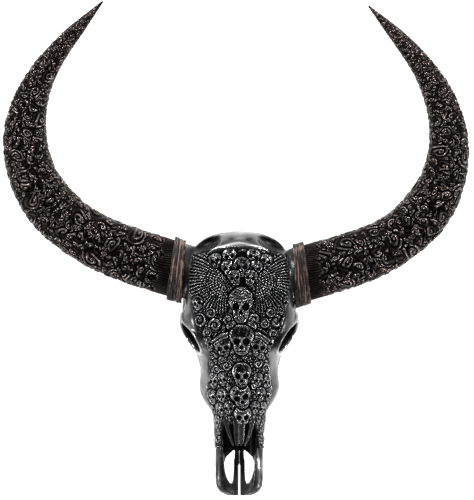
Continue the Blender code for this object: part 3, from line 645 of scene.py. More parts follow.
# station, and how far to each side the carving reaches, seen in plan
carvedBorder = np.array((
    (0.080, 0.0500), (0.148, 0.0500), (0.1686, 0.0535), (0.1985, 0.0631), (0.2285, 0.0590), (0.2529, 0.0588),
    (0.279, 0.0610), (0.298, 0.0680), (0.3165, 0.0780), (0.3353, 0.0850), (0.354, 0.0880), (0.3727, 0.0925),
    (0.3915, 0.0945), (0.410, 0.0950), (0.4476, 0.0930), (0.476, 0.0875)))
head = {"noseTip": -0.0015, "ridge": 0.476, "bow": 0.014, "bowBegins": 0.40, "ridgeHalf": 0.084, "bed": 0.0038,
        "nasalFront": 0.090, "nasalBack": 0.1500, "nasalCrown": 8.5, "carvingEnds": 0.4715}


def headBow(x, station):
    # the ridge between the horns is an arc: stations near it are pulled back towards the sides
    begins = head["bowBegins"]
    bow = head["bow"] * np.maximum(0.0, (station - begins) / (head["ridge"] - begins)) ** 2
    return station - bow * np.minimum(1.6, (x / head["ridgeHalf"]) ** 2)


def nasalTop(x, station):
    # a straight line from front to back, less a parabola across
    t = (station - nasalSections[0, 0]) / (nasalSections[-1, 0] - nasalSections[0, 0])
    return head["nasalFront"] + (head["nasalBack"] - head["nasalFront"]) * t - head["nasalCrown"] * x * x


def upperHead(station, angle):
    # superellipse from the right side over the roof to the left side
    width, widest, roof, _, power, _ = (tableValue(headSections, column, station) for column in range(1, 7))
    x = width * signedPower(np.cos(angle), 2 / power)
    z = widest + (roof - widest) * np.abs(np.sin(angle)) ** (2 / power)
    # the nasal bones stand a little proud of the face along its middle
    front, back = nasalSections[[0, -1], 0]
    half = tableValue(nasalSections, 1, np.clip(station, front, back))
    proud = np.clip(nasalTop(x, station) - z, -0.003, 0.006) * (1 - smoothStep(back, 0.285, station))
    inside = 1 - smoothStep(half - 0.002, half + 0.0015, np.abs(x))
    z = z + proud * inside * smoothStep(0.10, 0.13, station)
    return x, headBow(x, station), z


# the roof as a table: arc length from the midline against place, at each station
spread = np.linspace(-1.0, 1.0, 601)
arcAngles = np.pi / 2 - np.sign(spread) * np.pi / 2 * np.abs(spread) ** 1.5
arcStations = np.linspace(0.078, 0.476, 400)
arcX, arcY, arcZ = upperHead(arcStations[:, None], arcAngles[None, :])
arcLength = np.cumsum(np.hypot(np.diff(arcX, axis=1), np.diff(arcZ, axis=1)), axis=1)
arcLength = np.concatenate((np.zeros((len(arcStations), 1)), arcLength), axis=1)
arcLength = arcLength - arcLength[:, 300:301]  # column 300 is the midline


def rowBlend(table, station, lookup, wanted):
    # reads one quantity along the arc at each wanted place, row by row of the station table
    row = np.clip((station - arcStations[0]) / (arcStations[1] - arcStations[0]), 0, len(arcStations) - 1.001)
    low = row.astype(int)
    share = row - low
    result = np.empty_like(wanted)
    for k, near in enumerate(low):
        first, second = (np.interp(wanted[k], lookup[r], table[r]) for r in (near, near + 1))
        result[k] = first * (1 - share[k]) + second * share[k]
    return result


def facePoints(station, across):
    # station (n,), across (n, m): arc length over the head from the midline, to points of the frame
    rows = [rowBlend(table, station, arcLength, across) for table in (arcX, arcY, arcZ)]
    return np.stack(rows, axis=-1) + setting


def acrossAt(station, x):
    # arc length from the midline to a plan distance x
    station = np.atleast_1d(np.asarray(station, dtype=float))
    x = np.broadcast_to(np.asarray(x, dtype=float), station.shape)
    return rowBlend(arcLength, station, arcX, x[:, None])[:, 0]


def borderAcross(station):
    # arc length from the midline to the border of the carving
    return acrossAt(station, tableValue(carvedBorder, 1, station))


def carvedShare(across, station):
    # 1 inside the carved field and 0 outside, over a soft border
    side = smoothStep(0.0, 0.006, borderAcross(station)[:, None] - np.abs(across))
    return side * smoothStep(0.0, 0.005, head["carvingEnds"] - station)[:, None]


print("head surface tabled")


# bone

boneLook = {"voxels": (0.00187, 0.0014, 0.0011), "rounds": 9, "orbitRadius": 0.0325, "orbitRim": 0.0046,
            "orbitDepth": 0.0464, "orbitCentre": (0.0885, 0.3045, 0.1240), "orbitFacing": (0.826, -0.500, 0.240)}
# tubes of one side: places along each, half widths and half heights there
sideTubes = {
    "arch": (((0.052, 0.228, 0.062), (0.059, 0.250, 0.069), (0.0695, 0.275, 0.077), (0.0855, 0.300, 0.084),
              (0.0965, 0.326, 0.087), (0.0990, 0.358, 0.086), (0.0960, 0.393, 0.086), (0.0860, 0.425, 0.088),
              (0.0720, 0.450, 0.090)), (0.016, 0.0155, 0.0125, 0.0105, 0.0085, 0.0078, 0.0080, 0.011, 0.016),
             (0.022, 0.022, 0.019, 0.0155, 0.0135, 0.0120, 0.0125, 0.016, 0.022)),
    "pterygoid": (((0.024, 0.305, 0.046), (0.025, 0.322, 0.042), (0.026, 0.342, 0.046), (0.028, 0.365, 0.060)),
                  (0.006, 0.005, 0.005, 0.006), (0.024, 0.022, 0.020, 0.020)),
    # the horn's core runs on from these places into the horn's root
    "core": (((0.0450, 0.4135, 0.1310), (0.0760, 0.4165, 0.1305), (0.0910, 0.4185, 0.1295)),
             (0.0490, 0.0465, 0.0450, 0.0520, 0.0530), (0.0400, 0.0350, 0.0300, 0.0300, 0.0300)),
}
# upright posts of one side: places and half width along each, and how flat it is
sidePosts = {
    "strut": (((0.1010, 0.341, 0.086, 0.014), (0.1050, 0.343, 0.108, 0.009), (0.1045, 0.342, 0.132, 0.009),
               (0.0980, 0.343, 0.150, 0.014)), 12, 0.62),
    "process": (((0.064, 0.448, 0.080, 0.022), (0.0585, 0.452, 0.046, 0.0145), (0.0545, 0.4555, 0.018, 0.0088),
                 (0.0530, 0.4560, 0.0, 0.0060)), 14, 1.0),
}
# balls of one side, centre and radii: two that are added, then hollows at the temple, under it and at the rear
sideBalls = {"condyle": ((0.026, 0.479, 0.046), (0.019, 0.021, 0.029)),
             "bulla": ((0.040, 0.423, 0.040), (0.014, 0.021, 0.021))}
sideHollows = (((0.100, 0.392, 0.094), (0.040, 0.047, 0.036)), ((0.092, 0.378, 0.040), (0.046, 0.062, 0.040)),
               ((0.0645, 0.4800, 0.170), (0.0365, 0.0180, 0.038), (math.cos(math.radians(-24)),
                                                                  math.sin(math.radians(-24)), 0.0)),
               ((0.0163, 0.4915, 0.1785), (0.0145, 0.0135, 0.0145)))
# the nasal passage: where it runs, its walls, half widths, floor and roof
passageLook = {"stations": (-0.012, 0.222), "wall": 0.0135, "halves": (0.012, 0.031), "rearHalf": 0.0215,
               "narrows": (0.130, 0.035), "floor": 0.0275, "floorRises": (0.11, 0.16), "roofed": 0.150,
               "roof": 0.005, "open": 0.13, "squareness": 4.5}
choanaeLook = {"stations": (0.3125, 0.368), "level": 0.032, "climb": 0.36, "halves": (0.0185, 0.020)}
foramen = ((0, 0.497, 0.074), (0.0165, 0.0165, 0.030), xWay, yWay)
# painted sheen and shade: how bright each place of the bone is painted as a reflection, or how far a hollow is
# darkened as painted shade
paintedSheenAndShadeLook = {"level": 0.46, "mottle": 0.20, "crown": 0.30, "cheek": 0.26, "rim": 0.55, "socket": 0.97,
             "hollow": 0.92, "below": 0.35, "crest": 0.85, "dimple": 0.38, "dimples": (-0.0135, 0.0183),
             "most": 1.4}
slotOutline = ((0.0088, 0.0870), (0.0155, 0.0808), (0.0250, 0.0722), (0.0285, 0.0615), (0.0275, 0.0470),
               (0.0240, 0.0330), (0.0195, 0.0240), (0.0160, 0.0210), (0.0135, 0.0225), (0.0115, 0.0290),
               (0.0104, 0.0457), (0.0104, 0.0660), (0.0090, 0.0700), (0.0084, 0.0850))
slitOutline = ((-0.0021, -0.02), (0.0021, -0.02), (0.0021, 0.058), (-0.0021, 0.058))
# station, half width, middle and half height of the braincase
braincase = ((0.310, 0.026, 0.084, 0.026), (0.345, 0.040, 0.094, 0.050), (0.385, 0.052, 0.102, 0.066),
             (0.430, 0.060, 0.104, 0.074), (0.468, 0.064, 0.100, 0.068), (0.488, 0.050, 0.095, 0.052))


def ovalRings(centres, side, up, halfSide, halfUp, count=28, power=2.0):
    # superellipse round each centre, in the plane of side and up
    angle = circle(count)
    over = signedPower(np.cos(angle), 2 / power)[None, :, None] * np.asarray(halfSide)[..., None, None]
    rise = signedPower(np.sin(angle), 2 / power)[None, :, None] * np.asarray(halfUp)[..., None, None]
    centres, side, up = np.asarray(centres)[:, None], np.asarray(side)[..., None, :], np.asarray(up)[..., None, :]
    return centres + side * over + up * rise


def smoothPath(points, count):
    # cubic through a few points, in even steps
    points = np.asarray(points, dtype=float)
    rows = np.column_stack((np.arange(len(points), dtype=float), points))
    steps = np.linspace(0, len(points) - 1, count)
    return np.stack([tableValue(rows, k + 1, steps) for k in range(points.shape[1])], axis=-1)


def bentTube(path, widths, heights, around=20, along=26):
    # ellipses square to a smooth path
    rows = smoothPath(np.column_stack((path, widths, heights)), along)
    forward = unit(np.gradient(rows[:, :3], axis=0))
    side = unit(np.cross(forward, zWay))
    return ovalRings(rows[:, :3], side, np.cross(side, forward), rows[:, 3], rows[:, 4], around)


def post(path, along, flat):
    # level ellipses along an upright path
    rows = smoothPath(path, along)
    return ovalRings(rows[:, :3], xWay, yWay, rows[:, 3] * flat, rows[:, 3], 18)


def ball(centre, radii, first=xWay, third=zWay):
    # sphere stretched to three radii along three directions
    first, third = unit(np.asarray(first, dtype=float)), unit(np.asarray(third, dtype=float))
    tilt = np.linspace(0.04, np.pi - 0.04, 22)
    centres, wide = np.asarray(centre) + third * (np.cos(tilt) * radii[2])[:, None], np.sin(tilt)
    return ovalRings(centres, first, np.cross(third, first), wide * radii[0], wide * radii[1], 32)


def ringTube(centre, facing, major, minor):
    # torus of two radii that faces one way
    facing = unit(np.asarray(facing, dtype=float))
    side = unit(np.cross(facing, zWay))
    angle = circle(48)[:, None]
    out = side * np.cos(angle) + np.cross(side, facing) * np.sin(angle)
    centres, thick = np.asarray(centre) + out * major, np.full(48, minor)
    return ovalRings(centres, out, np.broadcast_to(facing, out.shape), thick, thick, 14)


def slab(outline, low, high, way):
    # outline carried from low to high, along x or along z
    rings = np.zeros((2, len(outline), 3))
    order = [0, 1, 2] if way == "z" else [1, 2, 0]
    rings[:, :, order[:2]] = np.asarray(outline, dtype=float)
    rings[:, :, order[2]] = np.array(((low,), (high,)))
    return rings


def prism(name, rings):
    # two flat ends that needn't be star shaped, and the walls between them
    count = rings.shape[1]
    index = list(range(count))
    faces = [index, [count + k for k in reversed(index)]]
    faces += [[(k + 1) % count, k, count + k, count + (k + 1) % count] for k in index]
    mesh = bpy.data.meshes.new(name)
    mesh.from_pydata(rings.reshape(-1, 3).tolist(), [], faces)
    work = bmesh.new()
    work.from_mesh(mesh)
    bmesh.ops.recalc_face_normals(work, faces=work.faces)
    work.to_mesh(mesh)
    work.free()
    return linked(name, mesh)


def settle(piece):
    # the modifiers' result becomes the piece's own mesh
    bpy.context.view_layer.update()
    graph = bpy.context.evaluated_depsgraph_get()
    old, piece.data = piece.data, bpy.data.meshes.new_from_object(piece.evaluated_get(graph))
    piece.modifiers.clear()
    bpy.data.meshes.remove(old)


def combine(piece, operation, others):
    # one exact boolean with several closed bodies, which are then removed
    group = bpy.data.collections.new(operation.lower())
    bpy.context.scene.collection.children.link(group)
    for other in others:
        bpy.context.scene.collection.objects.unlink(other)
        group.objects.link(other)
    cut = piece.modifiers.new(operation.lower(), "BOOLEAN")
    cut.operation, cut.solver, cut.operand_type, cut.collection = operation, "EXACT", "COLLECTION", group
    settle(piece)
    for other in others:
        bpy.data.objects.remove(other)
    bpy.data.collections.remove(group)


def mirrored(rings, side):
    # x times 1 or -1
    return np.asarray(rings, dtype=float) * (side, 1, 1)


def headShell():
    # whole superellipse rings of the head; the bed for the carved sheets is sunk into the roof
    stations, angle = np.linspace(head["noseTip"], head["ridge"], 176), circle(120)
    columns = (tableValue(headSections, column, stations)[:, None] for column in range(1, 7))
    width, widest, roof, floor, upper, lower = columns
    above = np.sin(angle)[None, :] >= 0
    power = np.where(above, upper, lower)
    reach = np.where(above, roof - widest, widest - floor)
    x = width * signedPower(np.cos(angle)[None, :], 2 / power)
    z = widest + reach * signedPower(np.sin(angle)[None, :], 2 / power)
    shell = np.stack((x, headBow(x, stations[:, None]), z), axis=-1)
    rows = stations > 0.079
    across = rowBlend(arcLength, stations[rows], arcX, x[rows])
    bed = np.zeros(x.shape)
    bed[rows] = carvedShare(across, stations[rows]) * smoothStep(0.090, 0.100, stations[rows])[:, None]
    middle = np.stack((0 * x, shell[..., 1], 0 * x + widest * 0.6 + roof * 0.4 - 0.03), axis=-1)
    return shell - unit(shell - middle) * (bed * above * head["bed"])[..., None]


def sideBones(word):
    # cheek arch, bar behind the orbit, horn core, base and orbit's rim of one side
    x, y, z = hornLooks[word]["root"]
    path, widths, heights = sideTubes["core"]
    path = path + ((x - 0.0030, y - 0.001, z), (x + 0.0180, y + 0.0052, z))
    shapes = {"arch": bentTube(*sideTubes["arch"], along=48), "strut": post(*sidePosts["strut"]),
              "core": bentTube(path, widths, heights, 40), "condyle": ball(*sideBalls["condyle"]),
              "bulla": ball(*sideBalls["bulla"]), "pterygoid": bentTube(*sideTubes["pterygoid"]),
              "process": post(*sidePosts["process"])}
    pieces = [tubePiece(f"{word}_{name}", mirrored(rings, sides[word])) for name, rings in shapes.items()]
    rim = ringTube(boneLook["orbitCentre"], boneLook["orbitFacing"],
                   boneLook["orbitRadius"] + 0.5 * boneLook["orbitRim"], boneLook["orbitRim"])
    return pieces + [loopPieces(f"{word}_rim", mirrored(rim, sides[word])[None])]


def socketBall(side, grown, depth):
    # the orbit's inside: a ball sunk by a depth along the way the orbit faces
    facing = unit(np.array(boneLook["orbitFacing"]))
    radius = boneLook["orbitRadius"] * grown
    centre = np.array(boneLook["orbitCentre"]) - facing * depth
    rings = ball(centre, (radius, radius, boneLook["orbitDepth"]), unit(np.cross(zWay, facing)), facing)
    return tubePiece(f"socket_{side}", mirrored(rings, side))


def onMidline(station, level):
    # centres in the skull's middle plane
    return np.stack((0 * station, station, level), axis=-1)


def openings():
    # everything that is cut out of the joined bones
    cuts = []
    for side in (-1, 1):
        cuts += [tubePiece("cut", mirrored(ball(*hollow), side)) for hollow in sideHollows]
        cuts.append(socketBall(side, 1.03, 0.009))
        cuts.append(prism("slot", slab(np.array(slotOutline) * (side, 1), -0.01, 0.12, "z")))
    # the nasal passage, narrower behind and open above in front of the nasal bones
    look, (begins, over), (rises, slope) = passageLook, passageLook["narrows"], passageLook["floorRises"]
    station = np.linspace(*look["stations"], 60)
    narrow = np.clip((station - begins) / over, 0, 1)
    wide = np.clip(tableValue(headSections, 1, np.maximum(station, 0.0)) - look["wall"], *look["halves"])
    inner = (wide * (1 - narrow) + look["rearHalf"] * narrow) * np.clip((0.240 - station) / 0.05, 0.35, 1.0)
    low = look["floor"] + slope * np.maximum(0.0, station - rises)
    high = np.where(station > look["roofed"], nasalTop(0.0, station) - look["roof"], look["open"])
    centres = onMidline(station, (low + high) / 2)
    passage = ovalRings(centres, xWay, zWay, inner, (high - low) / 2, 40, look["squareness"])
    cuts.append(tubePiece("passage", passage))
    # the seat of the nasal bones
    station = np.linspace(0.0955, 0.2625, 40)[:, None]
    x = tableValue(nasalSections, 1, station) * np.linspace(-1, 1, 17)[None, :]
    level = nasalTop(x, station)
    top, under = (np.stack((x, station + 0 * x, level + lift), axis=-1) for lift in (0.02, -0.0050))
    cuts.append(tubePiece("seat", np.concatenate((top, under[:, ::-1]), axis=1)))
    cuts.append(prism("slit", slab(slitOutline, -0.02, 0.12, "z")))
    # the way out of the nose at the back, and the hole for the spine
    station = np.linspace(*choanaeLook["stations"], 12)
    centres = onMidline(station, choanaeLook["level"] + choanaeLook["climb"] * (station - station[0]))
    wide, tall = (np.full(12, half) for half in choanaeLook["halves"])
    cuts.append(tubePiece("choanae", ovalRings(centres, xWay, zWay, wide, tall, 24, 2.5)))
    cuts.append(tubePiece("foramen", ball(*foramen)))
    return cuts


def braincaseRings():
    # upright superellipses along the midline
    station = np.linspace(0.310, 0.488, 36)
    width, middle, height = (tableValue(braincase, c, station) for c in (1, 2, 3))
    return ovalRings(onMidline(station, middle), xWay, zWay, width, height, 40, 2.2)


def occiputRings():
    # level superellipses that shrink to the top and the bottom; the upper ones lean forward
    level = np.linspace(-0.995, 0.995, 41)
    shrink = (1 - np.abs(level) ** 4.4) ** (1 / 2.6)
    centres = onMidline(0.440 - np.maximum(0, 0.010 * (level - 0.2)), 0.104 + 0.078 * level)
    wide = 0.093 * shrink * (1 - 0.14 * np.maximum(0, -level))
    return ovalRings(centres, xWay, yWay, wide, 0.062 * shrink, 64, 2.3)


def bonePaintedSheenAndShade(points):
    # painted sheen and shade: the crown, cheeks and rims get painted reflections; the orbits, the nasal passage,
    # the hollows and dimples get painted shade
    look, (across, y, z) = paintedSheenAndShadeLook, (points - setting).T
    x = np.abs(across)
    shine = look["level"] + look["mottle"] * smoothNoise(points[:, 0], y, z, 3, 0.016)
    shine = shine + look["crown"] * smoothStep(0.448, 0.468, y) * smoothStep(0.13, 0.17, z)
    cheek = bell(y - 0.243, 0.030) * smoothStep(0.050, 0.064, x) * smoothStep(0.04, 0.07, z)
    shine = shine + look["cheek"] * cheek
    # a painted highlight on the orbit's rim and painted shade inside the orbit
    facing = unit(np.array(boneLook["orbitFacing"]))
    gap = np.stack((x, y, z), axis=-1) - boneLook["orbitCentre"]
    depth = gap @ facing
    beyond = np.linalg.norm(gap - depth[:, None] * facing, axis=1) - boneLook["orbitRadius"]
    shine = shine + look["rim"] * bell(beyond - 0.002, 0.005) * bell(depth - 0.004, 0.012)
    shine = shine * (1 - look["socket"] * (beyond < 0) * smoothStep(0.002, -0.006, depth))
    # the nasal passage is painted black as shade
    passage = (x < 0.030) & (y < 0.235) & (y > 0.084) & (z < nasalTop(x, y) - 0.0045) & (z > 0.024)
    shine = np.where(passage, 0.0, shine)
    # painted shade in the hollows at the rear
    hollow = bell(x - 0.065, 0.024) * bell(y - 0.476 + 0.45 * (x - 0.067), 0.015) * smoothStep(0.10, 0.14, z)
    shine = shine * (1 - look["hollow"] * hollow)
    # darker towards the bottom
    raised = smoothStep(0.02, 0.075, z + 0.35 * np.maximum(0, 0.12 - y))
    shine = shine * (look["below"] + (1 - look["below"]) * raised)
    # a thin painted highlight along the edge of the crown; painted shade in the two shallow oval dimples behind it
    crest, above = 0.4795 - 0.0245 * (x / 0.080) ** 1.5, smoothStep(0.12, 0.15, z)
    shine = shine + look["crest"] * bell(y - crest, 0.0022) * (x < 0.086) * above
    for middle in look["dimples"]:
        shine = shine - look["dimple"] * bell(across - middle, 0.0085) * bell(y - 0.4870, 0.0042) * above
    return np.clip(shine, 0, look["most"])


def organic(piece, voxel, rounds):
    # voxel remesh and rounds of smoothing turn the joined shapes into one bone
    melt = piece.modifiers.new("melt", "REMESH")
    melt.mode, melt.voxel_size = "VOXEL", voxel
    ease = piece.modifiers.new("ease", "SMOOTH")
    ease.factor, ease.iterations = 0.5, rounds
    settle(piece)


def vertexRows(mesh, word):
    # three numbers a vertex: its place or its normal
    flat = np.empty(len(mesh.vertices) * 3, dtype=np.float32)
    mesh.vertices.foreach_get(word, flat)
    return flat.reshape(-1, 3).astype(float)


def dress(piece, *nodes):
    # moves the bone into the frame, adds a slight unevenness and its shine of painted sheen and shade, and hands it
    # over
    mesh = piece.data
    points, normals = vertexRows(mesh, "co"), vertexRows(mesh, "normal")
    rough = smoothNoise(*points.T, 8, 0.0065) * 0.00016 + smoothNoise(*points.T, 9, 0.0022) * 0.00005
    rough = rough * smoothStep(0.002, 0.010, points[:, 2] - points[:, 2].min())
    points = points + normals * rough[:, None] + setting
    points = np.clip(points, np.array(cadLow) + (0.0003, 0.0003, 0.0), np.array(cadHigh))
    mesh.vertices.foreach_set("co", points.astype(np.float32).ravel())
    dressMesh(mesh, {"shine": bonePaintedSheenAndShade(points)})
    mesh.update()
    finish(piece, polishedBoneWithPaintedSheen, *nodes)


def keepLargest(piece):
    # islands are found by handing the lowest number along the edges until nothing changes; crumbs go
    mesh = piece.data
    ends = np.empty(len(mesh.edges) * 2, dtype=np.int32)
    mesh.edges.foreach_get("vertices", ends)
    ends = ends.reshape(-1, 2)
    label, earlier = np.arange(len(mesh.vertices)), None
    while earlier is None or (label != earlier).any():
        earlier = label.copy()
        lowest = label[ends].min(axis=1)
        np.minimum.at(label, ends[:, 0], lowest)
        np.minimum.at(label, ends[:, 1], lowest)
        label = label[label]
    crumbs = np.nonzero(label != np.bincount(label).argmax())[0]
    if len(crumbs):
        work = bmesh.new()
        work.from_mesh(mesh)
        work.verts.ensure_lookup_table()
        bmesh.ops.delete(work, geom=[work.verts[k] for k in crumbs], context="VERTS")
        work.to_mesh(mesh)
        work.free()


def buildBones():
    # one joined skull, cut into four pieces along the CAD nodes' borders
    skull = tubePiece("skull", headShell())
    combine(skull, "UNION", [tubePiece("braincase", braincaseRings()), tubePiece("occiput", occiputRings())])
    combine(skull, "DIFFERENCE", openings())
    combine(skull, "UNION", sideBones("left") + sideBones("right"))
    combine(skull, "DIFFERENCE", [socketBall(side, 0.975, 0.0035) for side in (-1, 1)])
    print("bones joined")
    rear = ((0.2600, 0.4), (0.2600, 0.056), (0.3065, 0.047), (0.3065, -0.1), (0.9, -0.1), (0.9, 0.4))
    face = ((0.0848, 0.4), (0.0848, -0.1), (0.3090, -0.1), (0.3090, 0.049), (0.2640, 0.058), (0.2640, 0.4))
    nose = ((-0.1, 0.4), (-0.1, -0.1), (0.0890, -0.1), (0.0890, 0.4))
    coarse, middle, fine = boneLook["voxels"]
    parts = (("skull_rear", rear, coarse, -0.3, 0.3, "cranium"), ("skull_face", face, middle, -0.3, 0.3, "muzzle"),
             ("nose_bone_left", nose, fine, -0.3, -0.0002, "premaxilla_left"),
             ("nose_bone_right", nose, fine, 0.0002, 0.3, "premaxilla_right"))
    for name, outline, voxel, low, high, node in parts:
        bone = linked(name, skull.data.copy())
        combine(bone, "INTERSECT", [prism("bounds", slab(outline, low, high, "x"))])
        organic(bone, voxel, boneLook["rounds"])
        keepLargest(bone)
        dress(bone, node)
        print(name, len(bone.data.polygons), "faces")
    bpy.data.objects.remove(skull)


teethLook = {"lengths": (0.0165, 0.0190, 0.0200, 0.0240, 0.0280, 0.0300), "start": 0.1580, "front": 0.0405,
             "back": 0.0555, "breadth": 0.0205, "top": 0.0400, "gap": 0.0009, "squareness": 3.2, "shine": 0.36}


def buildTeeth():
    # crowns are superellipses round upright axes, with two lobes and fine flutes and a worn face on the floor
    start, total, crowns = teethLook["start"], sum(teethLook["lengths"]), []
    spread = teethLook["back"] - teethLook["front"]
    lean = math.atan2(spread, total)
    height = np.concatenate(([0.0, 0.0004, 0.0010, 0.0022], np.linspace(0.004, teethLook["top"], 22)))
    height = height[:, None]
    grown = np.interp(height, (0.0, 0.0004, 0.0022, 0.016, teethLook["top"]), (0.90, 0.94, 0.985, 1.0, 0.86))
    angle = circle(72)
    over, rise = (signedPower(way(angle), 2 / teethLook["squareness"]) for way in (np.cos, np.sin))
    for length in teethLook["lengths"]:
        middle = start + length / 2
        t = (middle - teethLook["start"]) / total
        breadth = teethLook["breadth"] * (0.72 + 0.28 * min(1.0, t * 2.2))
        lobes = 1 - 0.10 * bell(np.abs(np.sin(angle)) - 1, 0.09) + 0.012 * np.cos(angle * 9)
        along, across = (length - teethLook["gap"]) / 2 * over, breadth / 2 * rise * lobes
        wave = 1 + 0.012 * smoothNoise(along[None, :] * 900, height * 500, 0, int(length * 1e4), 1.0)
        dx = (math.sin(lean) * along + math.cos(lean) * across)[None, :] * grown * wave
        dy = (math.cos(lean) * along - math.sin(lean) * across)[None, :] * grown * wave
        x = teethLook["front"] + spread * t - 0.10 * height
        crowns.append(np.stack((x + dx, middle + dy, height + 0 * dx), axis=-1))
        start += length
    crowns = np.stack(crowns)
    points, quads, fans = manyTubes(np.concatenate((crowns, crowns * (-1, 1, 1))) + setting)
    # the mirrored half's faces are turned round
    for rows in (quads, fans):
        half = len(rows) // 2
        rows[half:] = rows[half:, ::-1].copy()
    shine = {"shine": np.full(len(points), teethLook["shine"])}
    finish(buildMesh("cheek_teeth", points, quads, fans, shine), polishedBoneWithPaintedSheen, "muzzle")
    print("teeth set")


buildBones()
buildTeeth()


# carving of the face

# wear: crests worn lighter, pits painted black as shade
carvingLook = {"cell": 0.0005, "across": 0.150, "stations": (0.080, 0.480), "seed": 71, "grow": 1.17,
               "ground": 0.0009, "groove": 0.0001, "wear": (0.36, 0.0016, 0.0052), "marks": 0.00026}
# ground between the motifs: size in pixels, how many are tried, and shape
fillerLook = {"sorts": ((11.0, 260, "curl"), (7.5, 800, "curl"), (4.2, 1500, "dome")),
              "field": ((186, 293), (252, 458)), "vary": (0.8, 1.2), "lift": (0.0014, 0.00016)}
wingLook = {"pivots": (226.0, 256.0), "level": 281.0, "feather": 6.2, "sweep": 5.0, "length": 34, "shade": 0.15,
            "outerAngles": (-95, -80, -60, -45, -25, 0, 30, 48, 62, 80),
            "outerRadii": (26, 31, 33, 33, 34, 36, 39, 40, 26, 12),
            "scale": 2.9, "scaleHeight": 0.0030, "featherHeight": 0.0034, "barbs": 0.22, "groove": 0.0001}
# figures in the order they are laid: shape, lift, foot and rim (a cord's width), then rows of place in the
# photograph, size, turn and stretch
faceFigures = (
    # the upper skulls
    ("skull", 0.0034, 0.0012, 1.16, (
        (215.5, 259.5, 11.5, 20), (265.5, 260, 11.5, -20), (229.5, 256, 12, 8), (253, 256.2, 12, -8),
        (228, 267.5, 11.5, 12), (255.5, 267.5, 11.5, -12), (241.6, 266.5, 14.5, 0), (234.5, 277, 11.5, 14),
        (250.5, 277, 11.5, -14))),
    # curls and small skulls at the sides, below the wings
    ("curl", 0.0030, 0.0011, 1.16, (
        (200, 319, 12, 40), (215, 324, 12, 200), (275, 320, 12, 140), (284.5, 320, 11, 10), (219, 347, 11, 90),
        (264, 322, 9, 60), (207, 331, 9, 20), (273, 332, 9, 300), (190.5, 263, 7, 0), (290.5, 263, 7, 0),
        (228, 318, 10, 30), (254, 318, 10, 210), (211, 312, 9, 100), (270, 311, 9, 30), (192, 309, 8, 10),
        (289, 309, 8, 10))),
    ("skull", 0.0036, 0.0011, 1.16, (
        (198, 302, 11, 10), (286.5, 302, 11, -10), (223, 346, 15, 12), (259, 345, 16, -10), (208, 343, 11, 25),
        (272, 343, 11, -25), (232, 326, 9, 20), (251, 326, 9, -20))),
    ("cord", 0.0030, 0.0022, 2.6, (
        ((229, 332), (222, 333.5), (212, 340)), ((230, 335), (224, 336), (216, 341)),
        ((253, 333), (259, 332.5), (269, 339)), ((254, 336), (260, 335.5), (267, 341)))),
    # the winged skull in the middle, with a peaked brow, and the round skull below it
    ("skull", 0.0058, 0.0012, 1.10, ((240.8, 304, 21.5, 0, 1.22),)),
    ("cord", 0.0026, 0.0052, 2.6, (((230.5, 297.5), (240.8, 299.5), (251, 297.5)),)),
    ("cord", 0.0016, 0.0056, 2.0, (((232, 292), (236, 289.5), (240.6, 292.5)),
                                   ((240.8, 292.5), (245.4, 289.5), (249.4, 292)))),
    ("dome", 0.0024, 0.0030, 1.16, ((241, 316.5, 5.5, 0),)),
    ("skull", 0.0060, 0.0014, 1.10, ((241.4, 338.5, 21.5, 0, 1.05),)),
    # beside the nose, at the edge of the face, and the column of skulls down its middle
    ("curl", 0.0026, 0.0011, 1.16, tuple((x, y, size, x * 13) for x, y, size in (
        (226.7, 365, 9), (216.7, 368, 8), (257.8, 362.8, 9), (266, 367, 8), (222, 358, 7), (260, 355, 7),
        (212, 363, 6), (271, 363, 6), (253.5, 385.5, 6), (229, 388, 6)))),
    ("skull", 0.0034, 0.0011, 1.16, (
        (213.3, 380.5, 12, 8), (266.9, 381.7, 12, -8), (223, 378.5, 10.5, 5), (257.8, 379.5, 10.5, -5),
        (211.7, 397, 11.5, 10), (269, 396, 11.5, -10), (221.7, 395.5, 11, 4), (260.7, 394.5, 11, -4),
        (220, 409.6, 10.5, 6), (262.3, 408.8, 10.5, -6), (228.6, 407.5, 10, 0), (254.8, 407.5, 10, 0),
        (213, 410, 7, 15), (268.6, 410, 7, -15), (216.7, 423, 10.5, 6), (264.5, 422, 10, -6), (215, 434, 9, 8),
        (265, 434, 9, -8), (215.5, 444, 8, 0), (264.5, 444, 8, 0), (216, 453, 7, 0), (263.5, 453, 7, 0))),
    ("skull", 0.0056, 0.0016, 1.10, ((242.5, 416, 15.5, 0), (241.0, 396, 18.5, 14), (241.5, 374, 17.0, 0, 1.12))),
)
# one cell is half a millimetre: heights, wear with painted shade, and the wings' painted shade over arc length from
# the midline and station
carveX = np.arange(-carvingLook["across"], carvingLook["across"], carvingLook["cell"])
carveS = np.arange(*carvingLook["stations"], carvingLook["cell"])
carveHeight = np.full((len(carveS), len(carveX)), carvingLook["ground"])
carveWearAndPaintedShade, carveShade = np.zeros_like(carveHeight), np.zeros_like(carveHeight)


